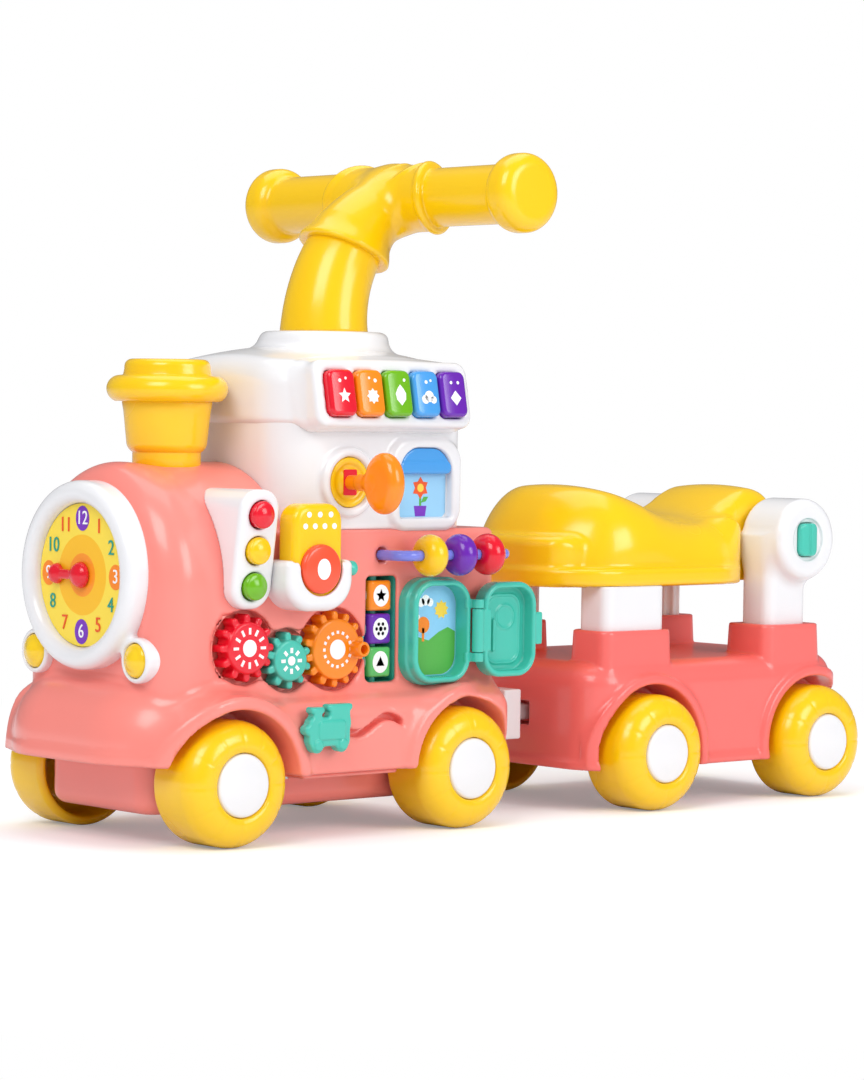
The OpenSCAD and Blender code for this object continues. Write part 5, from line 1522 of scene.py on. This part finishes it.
def rear_post(p):
    x, y, z = p
    side = np.abs(y)
    across = side - socket_y
    stem = plate(x - post_x, across, post_half[0], post_half[1], 8)
    stem = np.maximum(stem, span(z, deck_z, cap_z))
    from_cap = np.hypot(x - cap_x, z - cap_z)
    cap = meet(from_cap - cap_r, span(side, cap_in, cap_out), 7)
    post = join(stem, cap, 9)
    for rib_x in (-15, -5, 5, 15):
        groove = np.hypot(x - post_x - rib_x, across + 16) - 4
        post = cut(post, np.maximum(groove, span(z, deck_z + 10, cap_z - cap_r - 6)), 1)
    pin = np.maximum(from_cap - stub_r - 0.1, side - cap_in - 14)
    post = np.maximum(post, -pin)
    recess = plate(x - cap_x, z - cap_z, 9.4, 12.4, 5.4)
    post = np.maximum(post, -np.maximum(recess, cap_out - 12 - side))
    dish = from_cap - 15.5
    return cut(post, np.maximum(dish, cap_out - 2.2 - side), 1.2)


fasten(moulded("front_pillar_pair", front_pillar, (-41, -82, 62), (25, 82, 119), 1.1, trailer_axle),
       white_plastic, "trailer", "white", "front_pillars")
fasten(moulded("rear_post_pair", rear_post, (112, -95, 62), (190, 95, 182), 1.15, trailer_axle),
       white_plastic, "trailer", "white", "rear_posts")


def release_solid(p):
    x, y, z = p
    outline = plate(x - cap_x, z - cap_z, 9, 12, 5)
    face = cap_out + 2 - 1.4 * ((x - cap_x) / 9) ** 2
    side = np.abs(y)
    button = meet(outline, np.maximum(side - face, cap_out - 7.6 - side), 1.6)
    return cut(button, np.maximum(np.abs(x - cap_x) - 1, cap_out + 1.2 - side), 0.5)


for name, s in (("left", -1), ("right", 1)):
    ends = sorted((s * (cap_out - 10), s * (cap_out + 4)))
    button = moulded(f"release_{name}_button", release_solid, (144, ends[0], 133),
                     (168, ends[1], 163), 0.6, trailer_axle)
    fasten(button, teal_plastic, f"release_{name}", "teal", f"release_{name}")

# Seat
# A hollow blow-moulded yellow saddle: a flared lower rim, a shelf along the front, a hump, a dip
# and a low back that hangs between the caps on two stub pins.
seat_front, seat_back, seat_half = -72, 125.5, 80
seat_end, back_half = 173, 47
seat_dip, seat_fall = 44.5, 12
hump_x, hump_rise, back_x, back_rise = -16, 25.5, 148, 25
shelf_top, shelf_half = 35, 57


def bump(x, centre, width):
    """A smooth swelling along the seat."""
    return np.exp(-((x - centre) / width) ** 2)


def saddle(p):
    x, y, z = p
    side = np.abs(y)
    up = z - seat_z
    plan = cab_plan(x, y, seat_front, seat_back, seat_half, 56, 17)
    rim = meet(plan, span(up, 0, 12), 2.5)
    crown = seat_dip + hump_rise * bump(x, hump_x, np.where(x < hump_x, 42, 58))
    crown = crown + back_rise * bump(x, back_x, 38) - seat_fall * (y / seat_half) ** 2
    # The edge is rounder in front and tighter at the back
    rounding = 26 + 16 * np.clip((20 - x) / 60, 0, 1) - 12 * np.clip((x - 95) / 30, 0, 1)
    inner = cab_plan(x, y, seat_front + 12, seat_back - 5, seat_half - 7, 62, 14)
    back = meet(np.maximum(seat_back - 40 - x, side - back_half), x - seat_end, 14)
    hump = np.maximum(meet(join(inner, back, 4), (up - crown) * 0.88, rounding), -up)
    shelf = meet(meet(plan + 2, up - shelf_top, 8), np.maximum(side - shelf_half, x + 20), 10)
    seat = join(join(hump, np.maximum(shelf, -up), 3), rim, 3)
    pins = np.maximum(np.hypot(x - cap_x, z - cap_z) - stub_r, side - cap_in - 12)
    return np.minimum(seat, pins)


fasten(moulded("seat_saddle", saddle, (-78, -86, 112), (180, 86, 198), 1.7, trailer_axle),
       yellow_plastic, "seat", "yellow", "seat")

# Inner works
# A circuit board with its speaker, a battery box and the screws of the tray stay as built.
dark_plastic = moulded_plastic("black_abs", "#26282B", 0.4)
board = moulded_plastic("green_circuit_board", "#1F6B3A", 0.45)
paint(frame["nodes"]["sound_module"], board)
paint(frame["nodes"]["battery_box"], dark_plastic)
paint(frame["nodes"]["screws"], steel)
